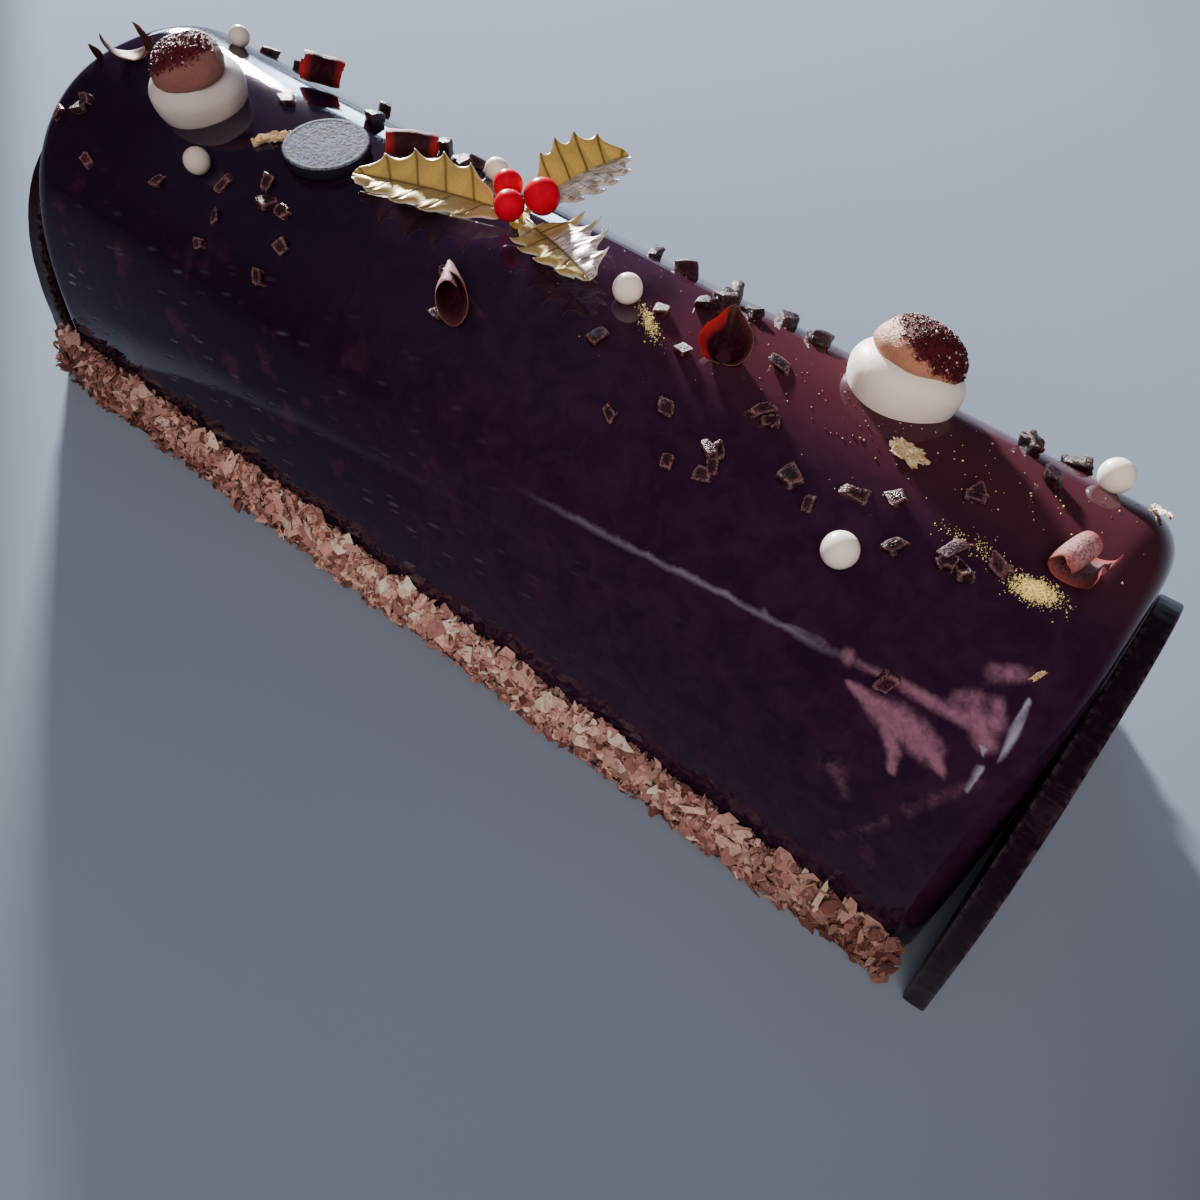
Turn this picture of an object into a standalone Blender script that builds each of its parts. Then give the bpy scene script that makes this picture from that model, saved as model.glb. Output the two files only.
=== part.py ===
"""Yule log cake: a glazed gutter-shaped log with a chocolate plaque at each end, a
border of crisp wafer flakes along each long side, and toppings on its crown.

Frame: X runs along the log, Y across it, Z up. The origin is under the middle of the
cake, on the surface it rests on. Sizes are in metres. The log's outline is a
superellipse: (across / half width) ** ACROSS_POWER + (up / height) ** UP_POWER = 1.
"""

import math

import bmesh
import bpy
import numpy as np
from mathutils import Matrix

MM = 0.001
GAP = 0.3 * MM

LOG_LENGTH = 250 * MM
LOG_HALF_WIDTH = 40.4 * MM
LOG_HEIGHT = 76 * MM
ACROSS_POWER = 2.3
UP_POWER = 3.4
LOG_END_ROUND = 8.6 * MM
LOG_STEPS = 36

PLAQUE_THICK = 4.4 * MM
PLAQUE_HALF_WIDTH = 39.8 * MM
PLAQUE_HEIGHT = 63.5 * MM
PLAQUE_FOOT = 128.2 * MM
PLAQUE_CHAMFER = 0.4 * MM
PLAQUE_STEPS = 26
# name, side of the cake, shift across
PLAQUES = (
    ("end_plaque_left", -1, 0.5 * MM),
    ("end_plaque_right", 1, -5.0 * MM),
)

BORDER_HALF_LENGTH = 124 * MM
BORDER_DEPTH = 5.2 * MM
# height of the crest at the left end of the cake and at the right end
BORDER_HEIGHTS = (15.5 * MM, 9.5 * MM)
BORDER_UNEVEN_TOP = 2.2 * MM
BORDER_UNEVEN_SIDE = 1.3 * MM
BORDER_STATIONS = 74

DOME_RADIUS = 10.2 * MM
DOME_HEIGHT = 8.8 * MM
CAP_RADIUS = 8.0 * MM
CAP_HEIGHT = 8.4 * MM
CAP_SINK = 3.8 * MM
# share of the cap's height that is above its widest ring
CAP_CROWN = 0.68
# name, along, across, cap's shift along and across, cap's lean about X and Y in degrees
MUSHROOMS = (
    ("left", -87.3 * MM, -6.3 * MM, 0.3 * MM, -0.5 * MM, 5, -3),
    ("right", 72.4 * MM, 14.6 * MM, 0.5 * MM, -0.6 * MM, -2, 5),
)

SEAT_DEPTH = 0.4 * MM
# along, across, radius
PEARLS = (
    (-104.4 * MM, 16.9 * MM, 2.40 * MM),
    (-72.5 * MM, -19.2 * MM, 2.75 * MM),
    (-23.4 * MM, 16.0 * MM, 2.45 * MM),
    (22.9 * MM, 0.8 * MM, 2.80 * MM),
    (82.8 * MM, -20.6 * MM, 3.05 * MM),
    (109.7 * MM, 19.8 * MM, 3.00 * MM),
)

DISC_RADIUS = 8.9 * MM
DISC_THICK = 2.3 * MM
DISC_CHAMFER = 0.35 * MM
DISC_PLACE = (-51.5 * MM, -3.2 * MM)

HUB_PLACE = (-6.6 * MM, 5.0 * MM)
HUB_RADIUS = 2.2 * MM
PIN_RADIUS = 0.5 * MM
PIN_TOP = 81.5 * MM
LEAF_LEVEL = 78.0 * MM
LEAF_THICK = 0.6 * MM
LEAF_START = 1.6 * MM
LEAF_SPANS = 5
LEAF_STATIONS = 24
LEAF_SCALLOP = 0.42
# name, heading, length, rise to the tip, then for the left half and for the right half,
# seen from the hub, the width, the upward fold and the stalk's share of the length;
# angles are in degrees
LEAVES = (
    ("left", 199, 34.0 * MM, 0, (11.0 * MM, 6, 1 / 24), (7.8 * MM, 36, 3 / 24)),
    ("back", 76, 25.0 * MM, 7, (10.4 * MM, 36, 4 / 24), (7.2 * MM, 10, 4 / 24)),
    ("right", -13, 24.5 * MM, 0, (11.0 * MM, 17, 4 / 24), (7.0 * MM, 40, 2 / 24)),
)
# direction from the hub in degrees, height of the centre, radius
BERRIES = (
    (167, 82.6 * MM, 2.85 * MM),
    (281, 82.2 * MM, 2.95 * MM),
    (46, 81.8 * MM, 3.5 * MM),
)

CURL_THICK = 0.8 * MM
# how much nearer the ribbon comes to the roll's middle in each turn
CURL_TIGHTEN = 1.25 * MM
# along, across, outer radius, length, start of the roll, its turn, heading, lift of
# the far end, taper; the start is 0 at the side, and angles are in degrees
CURLS = (
    (-77.0 * MM, 17.0 * MM, 2.9 * MM, 8.6 * MM, -50, 380, 24, 0, 0.10),
    (-38.2 * MM, 7.6 * MM, 2.6 * MM, 9.4 * MM, -50, 400, 42, 0, 0.05),
    (-3.8 * MM, -16.0 * MM, 4.0 * MM, 7.5 * MM, -50, 310, -50, 14, 0.30),
    (44.8 * MM, 0.7 * MM, 4.4 * MM, 7.5 * MM, 100, 290, -38, 8, 0.25),
    (112.0 * MM, -4.6 * MM, 3.6 * MM, 8.4 * MM, -50, 400, 58, 0, 0.12),
    (-111.3 * MM, -5.1 * MM, 4.8 * MM, 4.5 * MM, -165, 150, -28, 0, 0.15),
)

FINISHES = {
    "glaze": ((0.020, 0.008, 0.012), 0.06),
    "dark_chocolate": ((0.030, 0.014, 0.018), 0.35),
    "wafer_flakes": ((0.50, 0.27, 0.18), 0.75),
    "meringue": ((0.86, 0.83, 0.76), 0.55),
    "baked_cap": ((0.42, 0.21, 0.13), 0.65),
    "sugar_pearl": ((0.88, 0.84, 0.70), 0.30),
    "disc_chocolate": ((0.045, 0.040, 0.048), 0.45),
    "holly_gold": ((0.62, 0.44, 0.10), 0.25),
    "berry_red": ((0.75, 0.01, 0.02), 0.12),
    "curl_chocolate": ((0.16, 0.04, 0.02), 0.40),
}


def clear_scene():
    """Remove every object that is there already."""
    for thing in list(bpy.data.objects):
        bpy.data.objects.remove(thing, do_unlink=True)


def new_collection(name):
    """A collection under the scene's own."""
    group = bpy.data.collections.new(name)
    bpy.context.scene.collection.children.link(group)
    return group


def finish_material(name):
    """A Principled material from the table of finishes, made once."""
    if name in bpy.data.materials:
        return bpy.data.materials[name]
    colour, roughness = FINISHES[name]
    material = bpy.data.materials.new(name)
    material.use_nodes = True
    shader = material.node_tree.nodes["Principled BSDF"]
    shader.inputs["Base Color"].default_value = (*colour, 1.0)
    shader.inputs["Roughness"].default_value = roughness
    shader.inputs["Metallic"].default_value = 0.0
    return material


def add_part(group, name, mesh, finish, crease=35):
    """Put a mesh in the group as one named, smoothly shaded piece."""
    piece = bpy.data.objects.new(name, mesh)
    group.objects.link(piece)
    mesh.materials.append(finish_material(finish))
    mesh.shade_smooth()
    mesh.set_sharp_from_angle(angle=math.radians(crease))
    return piece


def mesh_from_shape(name, shape):
    """Turn the faces of a bmesh outwards and write it to a new mesh."""
    bmesh.ops.recalc_face_normals(shape, faces=shape.faces)
    mesh = bpy.data.meshes.new(name)
    shape.to_mesh(mesh)
    shape.free()
    return mesh


def mesh_from_line(name, points, half_depth, closed):
    """Extrude a line of points in the plane by half_depth each way along Z."""
    curve = bpy.data.curves.new(name, "CURVE")
    curve.dimensions = "2D" if closed else "3D"
    curve.fill_mode = "BOTH" if closed else "FULL"
    curve.extrude = half_depth
    line = curve.splines.new("POLY")
    line.points.add(len(points) - 1)
    for knot, (x, y) in zip(line.points, points):
        knot.co = (x, y, 0.0, 1.0)
    line.use_cyclic_u = closed
    holder = bpy.data.objects.new(name, curve)
    bpy.context.scene.collection.objects.link(holder)
    state = bpy.context.evaluated_depsgraph_get()
    mesh = bpy.data.meshes.new_from_object(holder.evaluated_get(state))
    bpy.data.objects.remove(holder, do_unlink=True)
    bpy.data.curves.remove(curve)
    return mesh


def arch_outline(half_width, height, steps):
    """Points of the superellipse arch, from its right foot over the crown to its left."""
    points = []
    for step in range(steps + 1):
        turn = math.pi * step / steps
        side = math.copysign(abs(math.cos(turn)) ** (2 / ACROSS_POWER), math.cos(turn))
        up = 0.0 if step in (0, steps) else math.sin(turn) ** (2 / UP_POWER)
        points.append((half_width * side, height * up))
    return points


# The arch is drawn in the XY plane. This stands it up across the log.
STAND_UP = Matrix(((0, 0, 1, 0), (1, 0, 0, 0), (0, 1, 0, 0), (0, 0, 0, 1)))


def arch_bar(name, half_width, height, length, steps):
    """A straight bar of the arch's outline, centred on X and standing on Z = 0.

    The edge over the arch has a bevel weight of 1 at both ends; the foot has none.
    """
    mesh = mesh_from_line(name, arch_outline(half_width, height, steps), length / 2, True)
    mesh.transform(STAND_UP)
    shape = bmesh.new()
    shape.from_mesh(mesh)
    bpy.data.meshes.remove(mesh)
    bmesh.ops.remove_doubles(shape, verts=shape.verts, dist=0.01 * MM)
    bmesh.ops.dissolve_limit(
        shape, angle_limit=math.radians(0.1), verts=shape.verts, edges=shape.edges
    )
    bmesh.ops.recalc_face_normals(shape, faces=shape.faces)
    weight = shape.edges.layers.float.new("bevel_weight_edge")
    for edge in shape.edges:
        cap = any(abs(face.normal.x) > 0.9 for face in edge.link_faces)
        foot = any(face.normal.z < -0.9 for face in edge.link_faces)
        lengthwise = abs(edge.verts[0].co.x - edge.verts[1].co.x) > length / 2
        edge[weight] = 1.0 if cap and not foot and not lengthwise else 0.0
    return mesh_from_shape(name, shape)


def bevel(piece, width, segments, by_weight):
    """Round or chamfer a piece's edges."""
    cut = piece.modifiers.new("bevel", "BEVEL")
    cut.width = width
    cut.segments = segments
    cut.limit_method = "WEIGHT" if by_weight else "ANGLE"
    cut.use_clamp_overlap = False


def crown_height(across, grow=0.0):
    """Height of the log's outline at a distance across from its middle."""
    share = min(abs(across) / (LOG_HALF_WIDTH + grow), 1.0)
    return (LOG_HEIGHT + grow) * (1.0 - share**ACROSS_POWER) ** (1.0 / UP_POWER)


def side_reach(height, grow=0.0):
    """Distance across from the log's middle to its outline at a height."""
    share = min(height / (LOG_HEIGHT + grow), 1.0)
    return (LOG_HALF_WIDTH + grow) * (1.0 - share**UP_POWER) ** (1.0 / ACROSS_POWER)


def on_crown(along, across):
    """Placement of a topping: on the log's outline, its Z square to the surface."""
    step = 0.1 * MM
    slope = (crown_height(across + step) - crown_height(across - step)) / (2 * step)
    place = Matrix.Translation((along, across, crown_height(across)))
    return place @ Matrix.Rotation(math.atan(slope), 4, "X")


def subtract(piece, cutter):
    """Cut one piece by another, which stays a separate body."""
    cut = piece.modifiers.new("cut by " + cutter.name, "BOOLEAN")
    cut.operation = "DIFFERENCE"
    cut.solver = "EXACT"
    cut.object = cutter


def make_log(group, cutters):
    """The glazed log, and a cutter that is larger by the gap for its toppings."""
    mesh = arch_bar("log", LOG_HALF_WIDTH, LOG_HEIGHT, LOG_LENGTH, LOG_STEPS)
    log = add_part(group, "log", mesh, "glaze")
    bevel(log, LOG_END_ROUND, 4, True)
    size = (LOG_HALF_WIDTH + GAP, LOG_HEIGHT + GAP, LOG_LENGTH + 2 * GAP)
    seat = bpy.data.objects.new("log_seat", arch_bar("log_seat", *size, LOG_STEPS))
    bevel(seat, LOG_END_ROUND, 4, True)
    seat.display_type = "WIRE"
    seat.hide_render = True
    cutters.objects.link(seat)
    return seat


def make_plaques(group):
    """Flat chocolate plaques that lean onto the log's ends."""
    clear = PLAQUE_FOOT - LOG_LENGTH / 2
    lean = math.atan((clear - 1.6 * GAP) / PLAQUE_HEIGHT)
    size = (PLAQUE_HALF_WIDTH, PLAQUE_HEIGHT, PLAQUE_THICK)
    for name, side, shift in PLAQUES:
        mesh = arch_bar(name, *size, PLAQUE_STEPS)
        mesh.transform(Matrix.Translation((side * PLAQUE_THICK / 2, 0, 0)))
        plaque = add_part(group, name, mesh, "dark_chocolate")
        plaque.location = (side * PLAQUE_FOOT, shift, 0)
        plaque.rotation_euler = (0, -side * lean, 0)
        bevel(plaque, PLAQUE_CHAMFER, 1, False)


def make_flake_border(group, name, side, seed):
    """The heap of wafer flakes along one foot of the log, out to its uneven outline.

    Each station is a closed ring: three points up the log's side, the crest, and
    three points down the heap's outer face. Seeded noise makes the rings uneven.
    """
    noise = np.random.default_rng(seed)
    stations = np.linspace(-BORDER_HALF_LENGTH, BORDER_HALF_LENGTH, BORDER_STATIONS)
    swell = np.sin(stations * 61 + seed) * np.cos(stations * 23)
    rough = 0.5 * (swell + noise.uniform(-1, 1, BORDER_STATIONS))
    top = np.linspace(*BORDER_HEIGHTS, BORDER_STATIONS) + BORDER_UNEVEN_TOP * rough
    dents = noise.uniform(0, 1, (BORDER_STATIONS, 4))
    dents[:, 3] -= dents[:, 3].min()
    reach = side_reach(0, GAP) + BORDER_DEPTH
    shape = bmesh.new()
    rings = []
    for along, height, dent in zip(stations, top, dents):
        inner = [(side_reach(share * height, GAP), share * height) for share in (0, 0.45, 0.9)]
        outer = [
            (side_reach(height, GAP) + (0.5 + dent[0]) * MM, height),
            (reach - 1.4 * MM - dent[1] * BORDER_UNEVEN_SIDE, 0.72 * height),
            (reach - dent[2] * BORDER_UNEVEN_SIDE, 0.36 * height),
            (reach - dent[3] * BORDER_UNEVEN_SIDE, 0.0),
        ]
        ring = [shape.verts.new((along, side * y, z)) for y, z in inner + outer]
        rings.append(ring)
    for before, after in zip(rings, rings[1:]):
        for index in range(len(before)):
            follow = (index + 1) % len(before)
            shape.faces.new((before[index], before[follow], after[follow], after[index]))
    shape.faces.new(rings[0])
    shape.faces.new(rings[-1])
    add_part(group, name, mesh_from_shape(name, shape), "wafer_flakes")


def cap_mesh(name, radius, height, grow=0.0):
    """A pebble-like cap: a sphere flattened above and more so below, slightly uneven."""
    shape = bmesh.new()
    bmesh.ops.create_uvsphere(shape, u_segments=18, v_segments=10, radius=1.0)
    for corner in shape.verts:
        x, y, z = corner.co
        uneven = 1.0 + 0.035 * math.sin(2 * math.atan2(y, x) + 0.7)
        lift = height * (CAP_CROWN if z > 0 else 1 - CAP_CROWN)
        corner.co.x = x * (radius * uneven + grow)
        corner.co.y = y * (radius / uneven * 0.97 + grow)
        corner.co.z = z * (lift + grow)
    return mesh_from_shape(name, shape)


def turned_mesh(name, profile):
    """The edges of a profile in the XZ plane, for a Screw modifier to turn."""
    shape = bmesh.new()
    corners = [shape.verts.new((x, 0, z)) for x, z in profile]
    for first, last in zip(corners, corners[1:]):
        shape.edges.new((first, last))
    mesh = bpy.data.meshes.new(name)
    shape.to_mesh(mesh)
    shape.free()
    return mesh


def turn_profile(piece, steps):
    """Turn a piece's profile about its Z axis into a closed body."""
    turn = piece.modifiers.new("turn", "SCREW")
    turn.steps = steps
    turn.render_steps = steps
    turn.use_merge_vertices = True
    turn.merge_threshold = 0.01 * MM


def dome_profile(radius, height):
    """The outline of a piped dome, from its tip down its side to below its foot."""
    profile = [(0.0, height)]
    for step in range(1, 8):
        turn = math.pi / 2 * step / 7
        profile.append((radius * math.sin(turn), 0.2 * height + 0.8 * height * math.cos(turn)))
    profile += [(0.93 * radius, -0.15 * height), (0.80 * radius, -0.55 * height)]
    profile.append((0.0, -0.55 * height))
    return profile


def make_mushrooms(group, cutters, seat):
    """Two meringue mushrooms: a piped dome that sits on the glaze, and a baked cap."""
    for name, along, across, shift_x, shift_y, lean_x, lean_y in MUSHROOMS:
        place = on_crown(along, across)
        dome_name = "mushroom_base_" + name
        mesh = turned_mesh(dome_name, dome_profile(DOME_RADIUS, DOME_HEIGHT))
        dome = add_part(group, dome_name, mesh, "meringue")
        dome.matrix_world = place
        turn_profile(dome, 20)
        lean = Matrix.Rotation(math.radians(lean_x), 4, "X")
        lean = lean @ Matrix.Rotation(math.radians(lean_y), 4, "Y")
        level = DOME_HEIGHT - CAP_SINK + (1 - CAP_CROWN) * CAP_HEIGHT
        lift = Matrix.Translation((shift_x, shift_y, level))
        cap_name = "mushroom_cap_" + name
        mesh = cap_mesh(cap_name, CAP_RADIUS, CAP_HEIGHT)
        cap = add_part(group, cap_name, mesh, "baked_cap")
        cap.matrix_world = place @ lift @ lean
        mesh = cap_mesh(cap_name + "_seat", CAP_RADIUS, CAP_HEIGHT, GAP)
        hollow = bpy.data.objects.new(cap_name + "_seat", mesh)
        hollow.matrix_world = place @ lift @ lean
        hollow.display_type = "WIRE"
        hollow.hide_render = True
        cutters.objects.link(hollow)
        subtract(dome, seat)
        subtract(dome, hollow)


def ball(name, radius):
    """A round bead."""
    shape = bmesh.new()
    bmesh.ops.create_uvsphere(shape, u_segments=14, v_segments=8, radius=radius)
    return mesh_from_shape(name, shape)


def make_pearls(group, seat):
    """Sugar pearls, each bedded a little into the glaze."""
    for number, (along, across, radius) in enumerate(PEARLS, start=1):
        name = f"pearl_{number}"
        pearl = add_part(group, name, ball(name, radius), "sugar_pearl", crease=60)
        lift = Matrix.Translation((0, 0, radius - SEAT_DEPTH + GAP))
        pearl.matrix_world = on_crown(along, across) @ lift
        subtract(pearl, seat)


def make_disc(group, seat):
    """A plain round chocolate disc that lies on the crown."""
    shape = bmesh.new()
    bmesh.ops.create_cone(
        shape,
        cap_ends=True,
        segments=32,
        radius1=DISC_RADIUS,
        radius2=DISC_RADIUS,
        depth=DISC_THICK,
    )
    disc = add_part(group, "chocolate_disc", mesh_from_shape("chocolate_disc", shape), "disc_chocolate")
    disc.matrix_world = on_crown(*DISC_PLACE) @ Matrix.Translation((0, 0, DISC_THICK / 2 + GAP))
    bevel(disc, DISC_CHAMFER, 1, False)
    subtract(disc, seat)


def leaf_half_width(along, start):
    """Half width of a holly leaf, as a share of its widest, at a share of its length.

    A thin stalk as far as the start, then a smooth swell to the tip, cut by hollow arcs
    between its spines.
    """
    blade = (along - start) / (1 - start)
    stalk = 0.07 * (1 - 0.6 * along)
    if not 0 < blade < 1:
        return stalk
    swell = math.sin(math.pi * blade**0.75) ** 0.55
    part = (blade * LEAF_SPANS) % 1.0
    hollow = LEAF_SCALLOP * (4 * part * (1 - part)) ** 0.7
    return max(swell * (1 - hollow), stalk)


def make_leaf(group, name, heading, length, rise, left, right):
    """A holly leaf: a grid drawn out to the spiny outline and folded at its midrib."""
    shape = bmesh.new()
    bmesh.ops.create_grid(shape, x_segments=LEAF_STATIONS, y_segments=2, size=0.5)
    for corner in shape.verts:
        along = corner.co.x + 0.5
        side = corner.co.y * 2
        width, fold, start = left if side > 0 else right
        reach = side * width * leaf_half_width(along, start)
        corner.co.x = LEAF_START + along * length
        corner.co.y = reach * math.cos(math.radians(fold))
        corner.co.z = abs(reach) * math.sin(math.radians(fold))
    leaf = add_part(group, name, mesh_from_shape(name, shape), "holly_gold")
    leaf.location = (*HUB_PLACE, LEAF_LEVEL)
    leaf.rotation_euler = (0, -math.radians(rise), math.radians(heading))
    wall = leaf.modifiers.new("wall", "SOLIDIFY")
    wall.thickness = LEAF_THICK
    wall.offset = 0


def make_holly(group, seat):
    """The holly sprig: a hub with a pin, and three leaves and three berries round it."""
    foot = crown_height(HUB_PLACE[1]) - 1.0 * MM
    brim = LEAF_LEVEL - LEAF_THICK / 2 - GAP
    profile = [(0, PIN_TOP), (PIN_RADIUS, PIN_TOP), (PIN_RADIUS, brim)]
    profile += [(HUB_RADIUS, brim), (HUB_RADIUS, foot), (0, foot)]
    hub = add_part(group, "holly_hub", turned_mesh("holly_hub", profile), "holly_gold")
    hub.location = (*HUB_PLACE, 0)
    turn_profile(hub, 12)
    subtract(hub, seat)
    for name, *sizes in LEAVES:
        make_leaf(group, "holly_leaf_" + name, *sizes)
    for number, (direction, height, radius) in enumerate(BERRIES, start=1):
        name = f"holly_berry_{number}"
        berry = add_part(group, name, ball(name, radius), "berry_red", crease=60)
        reach = radius + PIN_RADIUS + GAP
        bearing = math.radians(direction)
        along = HUB_PLACE[0] + reach * math.cos(bearing)
        across = HUB_PLACE[1] + reach * math.sin(bearing)
        berry.location = (along, across, height)


def make_curl(group, seat, number, along, across, radius, length, start, turn, heading, lift, taper):
    """A chocolate curl: a ribbon rolled into a spiral that tightens inwards."""
    steps = max(8, round(turn / 28))
    line = []
    for step in range(steps + 1):
        angle = math.radians(turn * step / steps)
        reach = radius - CURL_THICK / 2 - CURL_TIGHTEN * angle / math.tau
        bearing = math.radians(start) + angle
        line.append((reach * math.cos(bearing), reach * math.sin(bearing)))
    name = f"curl_{number}"
    mesh = mesh_from_line(name, line, length / 2, False)
    mesh.transform(STAND_UP)
    for corner in mesh.vertices:
        scale = 1 - taper * (0.5 + corner.co.x / length)
        corner.co.y *= scale
        corner.co.z *= scale
    curl = add_part(group, name, mesh, "curl_chocolate")
    place = on_crown(along, across) @ Matrix.Translation((0, 0, radius - SEAT_DEPTH + GAP))
    place = place @ Matrix.Rotation(math.radians(heading), 4, "Z")
    curl.matrix_world = place @ Matrix.Rotation(-math.radians(lift), 4, "Y")
    wall = curl.modifiers.new("wall", "SOLIDIFY")
    wall.thickness = CURL_THICK
    wall.offset = 0
    subtract(curl, seat)


def main():
    """Build the whole cake."""
    clear_scene()
    cake = new_collection("yule_log_cake")
    cutters = new_collection("cutters")
    seat = make_log(cake, cutters)
    make_plaques(cake)
    make_flake_border(cake, "flake_border_front", -1, 5)
    make_flake_border(cake, "flake_border_back", 1, 11)
    make_mushrooms(cake, cutters, seat)
    make_pearls(cake, seat)
    make_disc(cake, seat)
    make_holly(cake, seat)
    for number, sizes in enumerate(CURLS, start=1):
        make_curl(cake, seat, number, *sizes)


main()
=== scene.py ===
"""Looks of the yule log cake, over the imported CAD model.

Frame: X runs along the log, Y across it, Z up, in metres. The origin is under the
middle of the cake. Every piece is a surface worked out as whole arrays, with its place
in its mesh. The log's outline is a superellipse:
(across / half width) ** ACROSS_POWER + (up / height) ** UP_POWER = 1.
"""

import math

import bmesh
import bpy
import numpy as np
from mathutils import Matrix


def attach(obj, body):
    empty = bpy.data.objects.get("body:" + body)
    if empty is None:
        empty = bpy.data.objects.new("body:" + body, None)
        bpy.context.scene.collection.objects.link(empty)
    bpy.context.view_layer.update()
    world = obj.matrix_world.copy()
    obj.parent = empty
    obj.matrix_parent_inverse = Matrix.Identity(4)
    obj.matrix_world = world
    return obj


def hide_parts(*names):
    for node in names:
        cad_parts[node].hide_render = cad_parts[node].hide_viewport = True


bl_info = {
    "name": "Yule log cake",
    "version": (1, 0, 0),
    "blender": (4, 5, 0),
    "location": "3D View > Sidebar > Cake",
    "description": "Builds the glaze, borders and toppings of a yule log cake",
    "category": "Object",
}

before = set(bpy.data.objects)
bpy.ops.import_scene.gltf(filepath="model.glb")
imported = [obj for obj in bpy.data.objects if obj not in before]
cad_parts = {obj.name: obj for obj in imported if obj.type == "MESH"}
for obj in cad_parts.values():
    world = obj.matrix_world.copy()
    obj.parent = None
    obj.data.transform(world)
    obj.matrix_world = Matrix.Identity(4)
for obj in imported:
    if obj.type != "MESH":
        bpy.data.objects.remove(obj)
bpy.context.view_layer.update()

MM = 0.001
GAP = 0.3 * MM

LOG_HALF_WIDTH = 40.4 * MM
LOG_HEIGHT = 76 * MM
LOG_HALF_LENGTH = 125 * MM
ACROSS_POWER = 2.3
UP_POWER = 3.4
LOG_END_ROUND = 8.6 * MM

PLAQUE_THICK = 4.4 * MM
PLAQUE_HALF_WIDTH = 39.8 * MM
PLAQUE_HEIGHT = 63.5 * MM
PLAQUE_FOOT = 128.2 * MM
PLAQUE_LEAN = math.radians(2.45)
# name, side of the cake, shift across
PLAQUES = (
    ("left", -1, 0.5 * MM),
    ("right", 1, -5.0 * MM),
)

# height of the border's crest at the left end of the cake and at the right end
BORDER_HEIGHTS = (15.5 * MM, 9.5 * MM)
BORDER_DEPTH = 5.2 * MM
BORDER_HALF_LENGTH = 124 * MM

DOME_RADIUS = 10.2 * MM
DOME_HEIGHT = 8.8 * MM
CAP_RADIUS = 8.0 * MM
CAP_HEIGHT = 8.4 * MM
CAP_SINK = 3.8 * MM
CAP_CROWN = 0.68
# name, along, across, cap's shift along and across, cap's lean about X and Y in degrees
MUSHROOMS = (
    ("left", -87.3 * MM, -6.3 * MM, 0.3 * MM, -0.5 * MM, 5, -3),
    ("right", 72.4 * MM, 14.6 * MM, 0.5 * MM, -0.6 * MM, -2, 5),
)

SEAT_DEPTH = 0.4 * MM
# along, across, radius
PEARLS = (
    (-104.4 * MM, 16.9 * MM, 2.40 * MM),
    (-72.5 * MM, -19.2 * MM, 2.75 * MM),
    (-23.4 * MM, 16.0 * MM, 2.45 * MM),
    (22.9 * MM, 0.8 * MM, 2.80 * MM),
    (82.8 * MM, -20.6 * MM, 3.05 * MM),
    (109.7 * MM, 19.8 * MM, 3.00 * MM),
)

DISC_RADIUS = 8.9 * MM
DISC_THICK = 2.3 * MM
DISC_PLACE = (-51.5 * MM, -3.2 * MM)

HUB_PLACE = (-6.6 * MM, 5.0 * MM)
HUB_RADIUS = 2.2 * MM
PIN_TOP = 81.5 * MM
LEAF_LEVEL = 78.0 * MM
LEAF_START = 1.6 * MM
LEAF_SPANS = 5
# name, heading, length, rise to the tip, then for the left half and for the right half,
# seen from the hub, the width, the upward fold and the stalk's share of the length;
# angles are in degrees
LEAVES = (
    ("left", 199, 34.0 * MM, 0, (11.0 * MM, 6, 1 / 24), (7.8 * MM, 36, 3 / 24)),
    ("back", 76, 25.0 * MM, 7, (10.4 * MM, 36, 4 / 24), (7.2 * MM, 10, 4 / 24)),
    ("right", -13, 24.5 * MM, 0, (11.0 * MM, 17, 4 / 24), (7.0 * MM, 40, 2 / 24)),
)
# direction from the hub in degrees, height of the centre, radius
BERRIES = (
    (167, 82.6 * MM, 2.85 * MM),
    (281, 82.2 * MM, 2.95 * MM),
    (46, 81.8 * MM, 3.5 * MM),
)

CURL_TIGHTEN = 1.25 * MM
# along, across, outer radius, length, start of the roll, its turn, heading, lift of
# the far end, taper; angles are in degrees
CURLS = (
    (-77.0 * MM, 17.0 * MM, 2.9 * MM, 8.6 * MM, -50, 380, 24, 0, 0.10),
    (-38.2 * MM, 7.6 * MM, 2.6 * MM, 9.4 * MM, -50, 400, 42, 0, 0.05),
    (-3.8 * MM, -16.0 * MM, 4.0 * MM, 7.5 * MM, -50, 310, -50, 14, 0.30),
    (44.8 * MM, 0.7 * MM, 4.4 * MM, 7.5 * MM, 100, 290, -38, 8, 0.25),
    (112.0 * MM, -4.6 * MM, 3.6 * MM, 8.4 * MM, -50, 400, 58, 0, 0.12),
    (-111.3 * MM, -5.1 * MM, 4.8 * MM, 4.5 * MM, -165, 150, -28, 0, 0.15),
)

# How each shaving looks: outer radius, length, start of the roll, its turn, heading,
# lift, taper, how far its outer end flares, how much its ends narrow to points, how
# aslant its mouth is cut, then the bloom outside and inside and the glow. The fourth is
# an open shell instead.
SHAVINGS = (
    (3.4 * MM, 8.6 * MM, 60, 400, 50, 0, 0.0, 0.5 * MM, 0.0, 0, 0.0, 0.0, 0.9),
    (2.9 * MM, 10.2 * MM, 60, 400, 42, 0, 0.05, 0.4 * MM, 0.0, 0, 0.02, 0.0, 0.9),
    (3.9 * MM, 9.4 * MM, 100, 400, 133, -8, 0.80, 0.3 * MM, 0.0, 1.1, 0.80, 0.0, 0.0),
    None,
    (3.3 * MM, 7.2 * MM, 158, 400, 78, 0, 0.0, 2.2 * MM, 0.0, 0, 0.90, 0.30, 0.72),
    (6.3 * MM, 5.0 * MM, -182, 152, -28, 0, 0.1, 0.0, 1.0, 0, 0.0, 0.14, 0.05),
)

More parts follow.
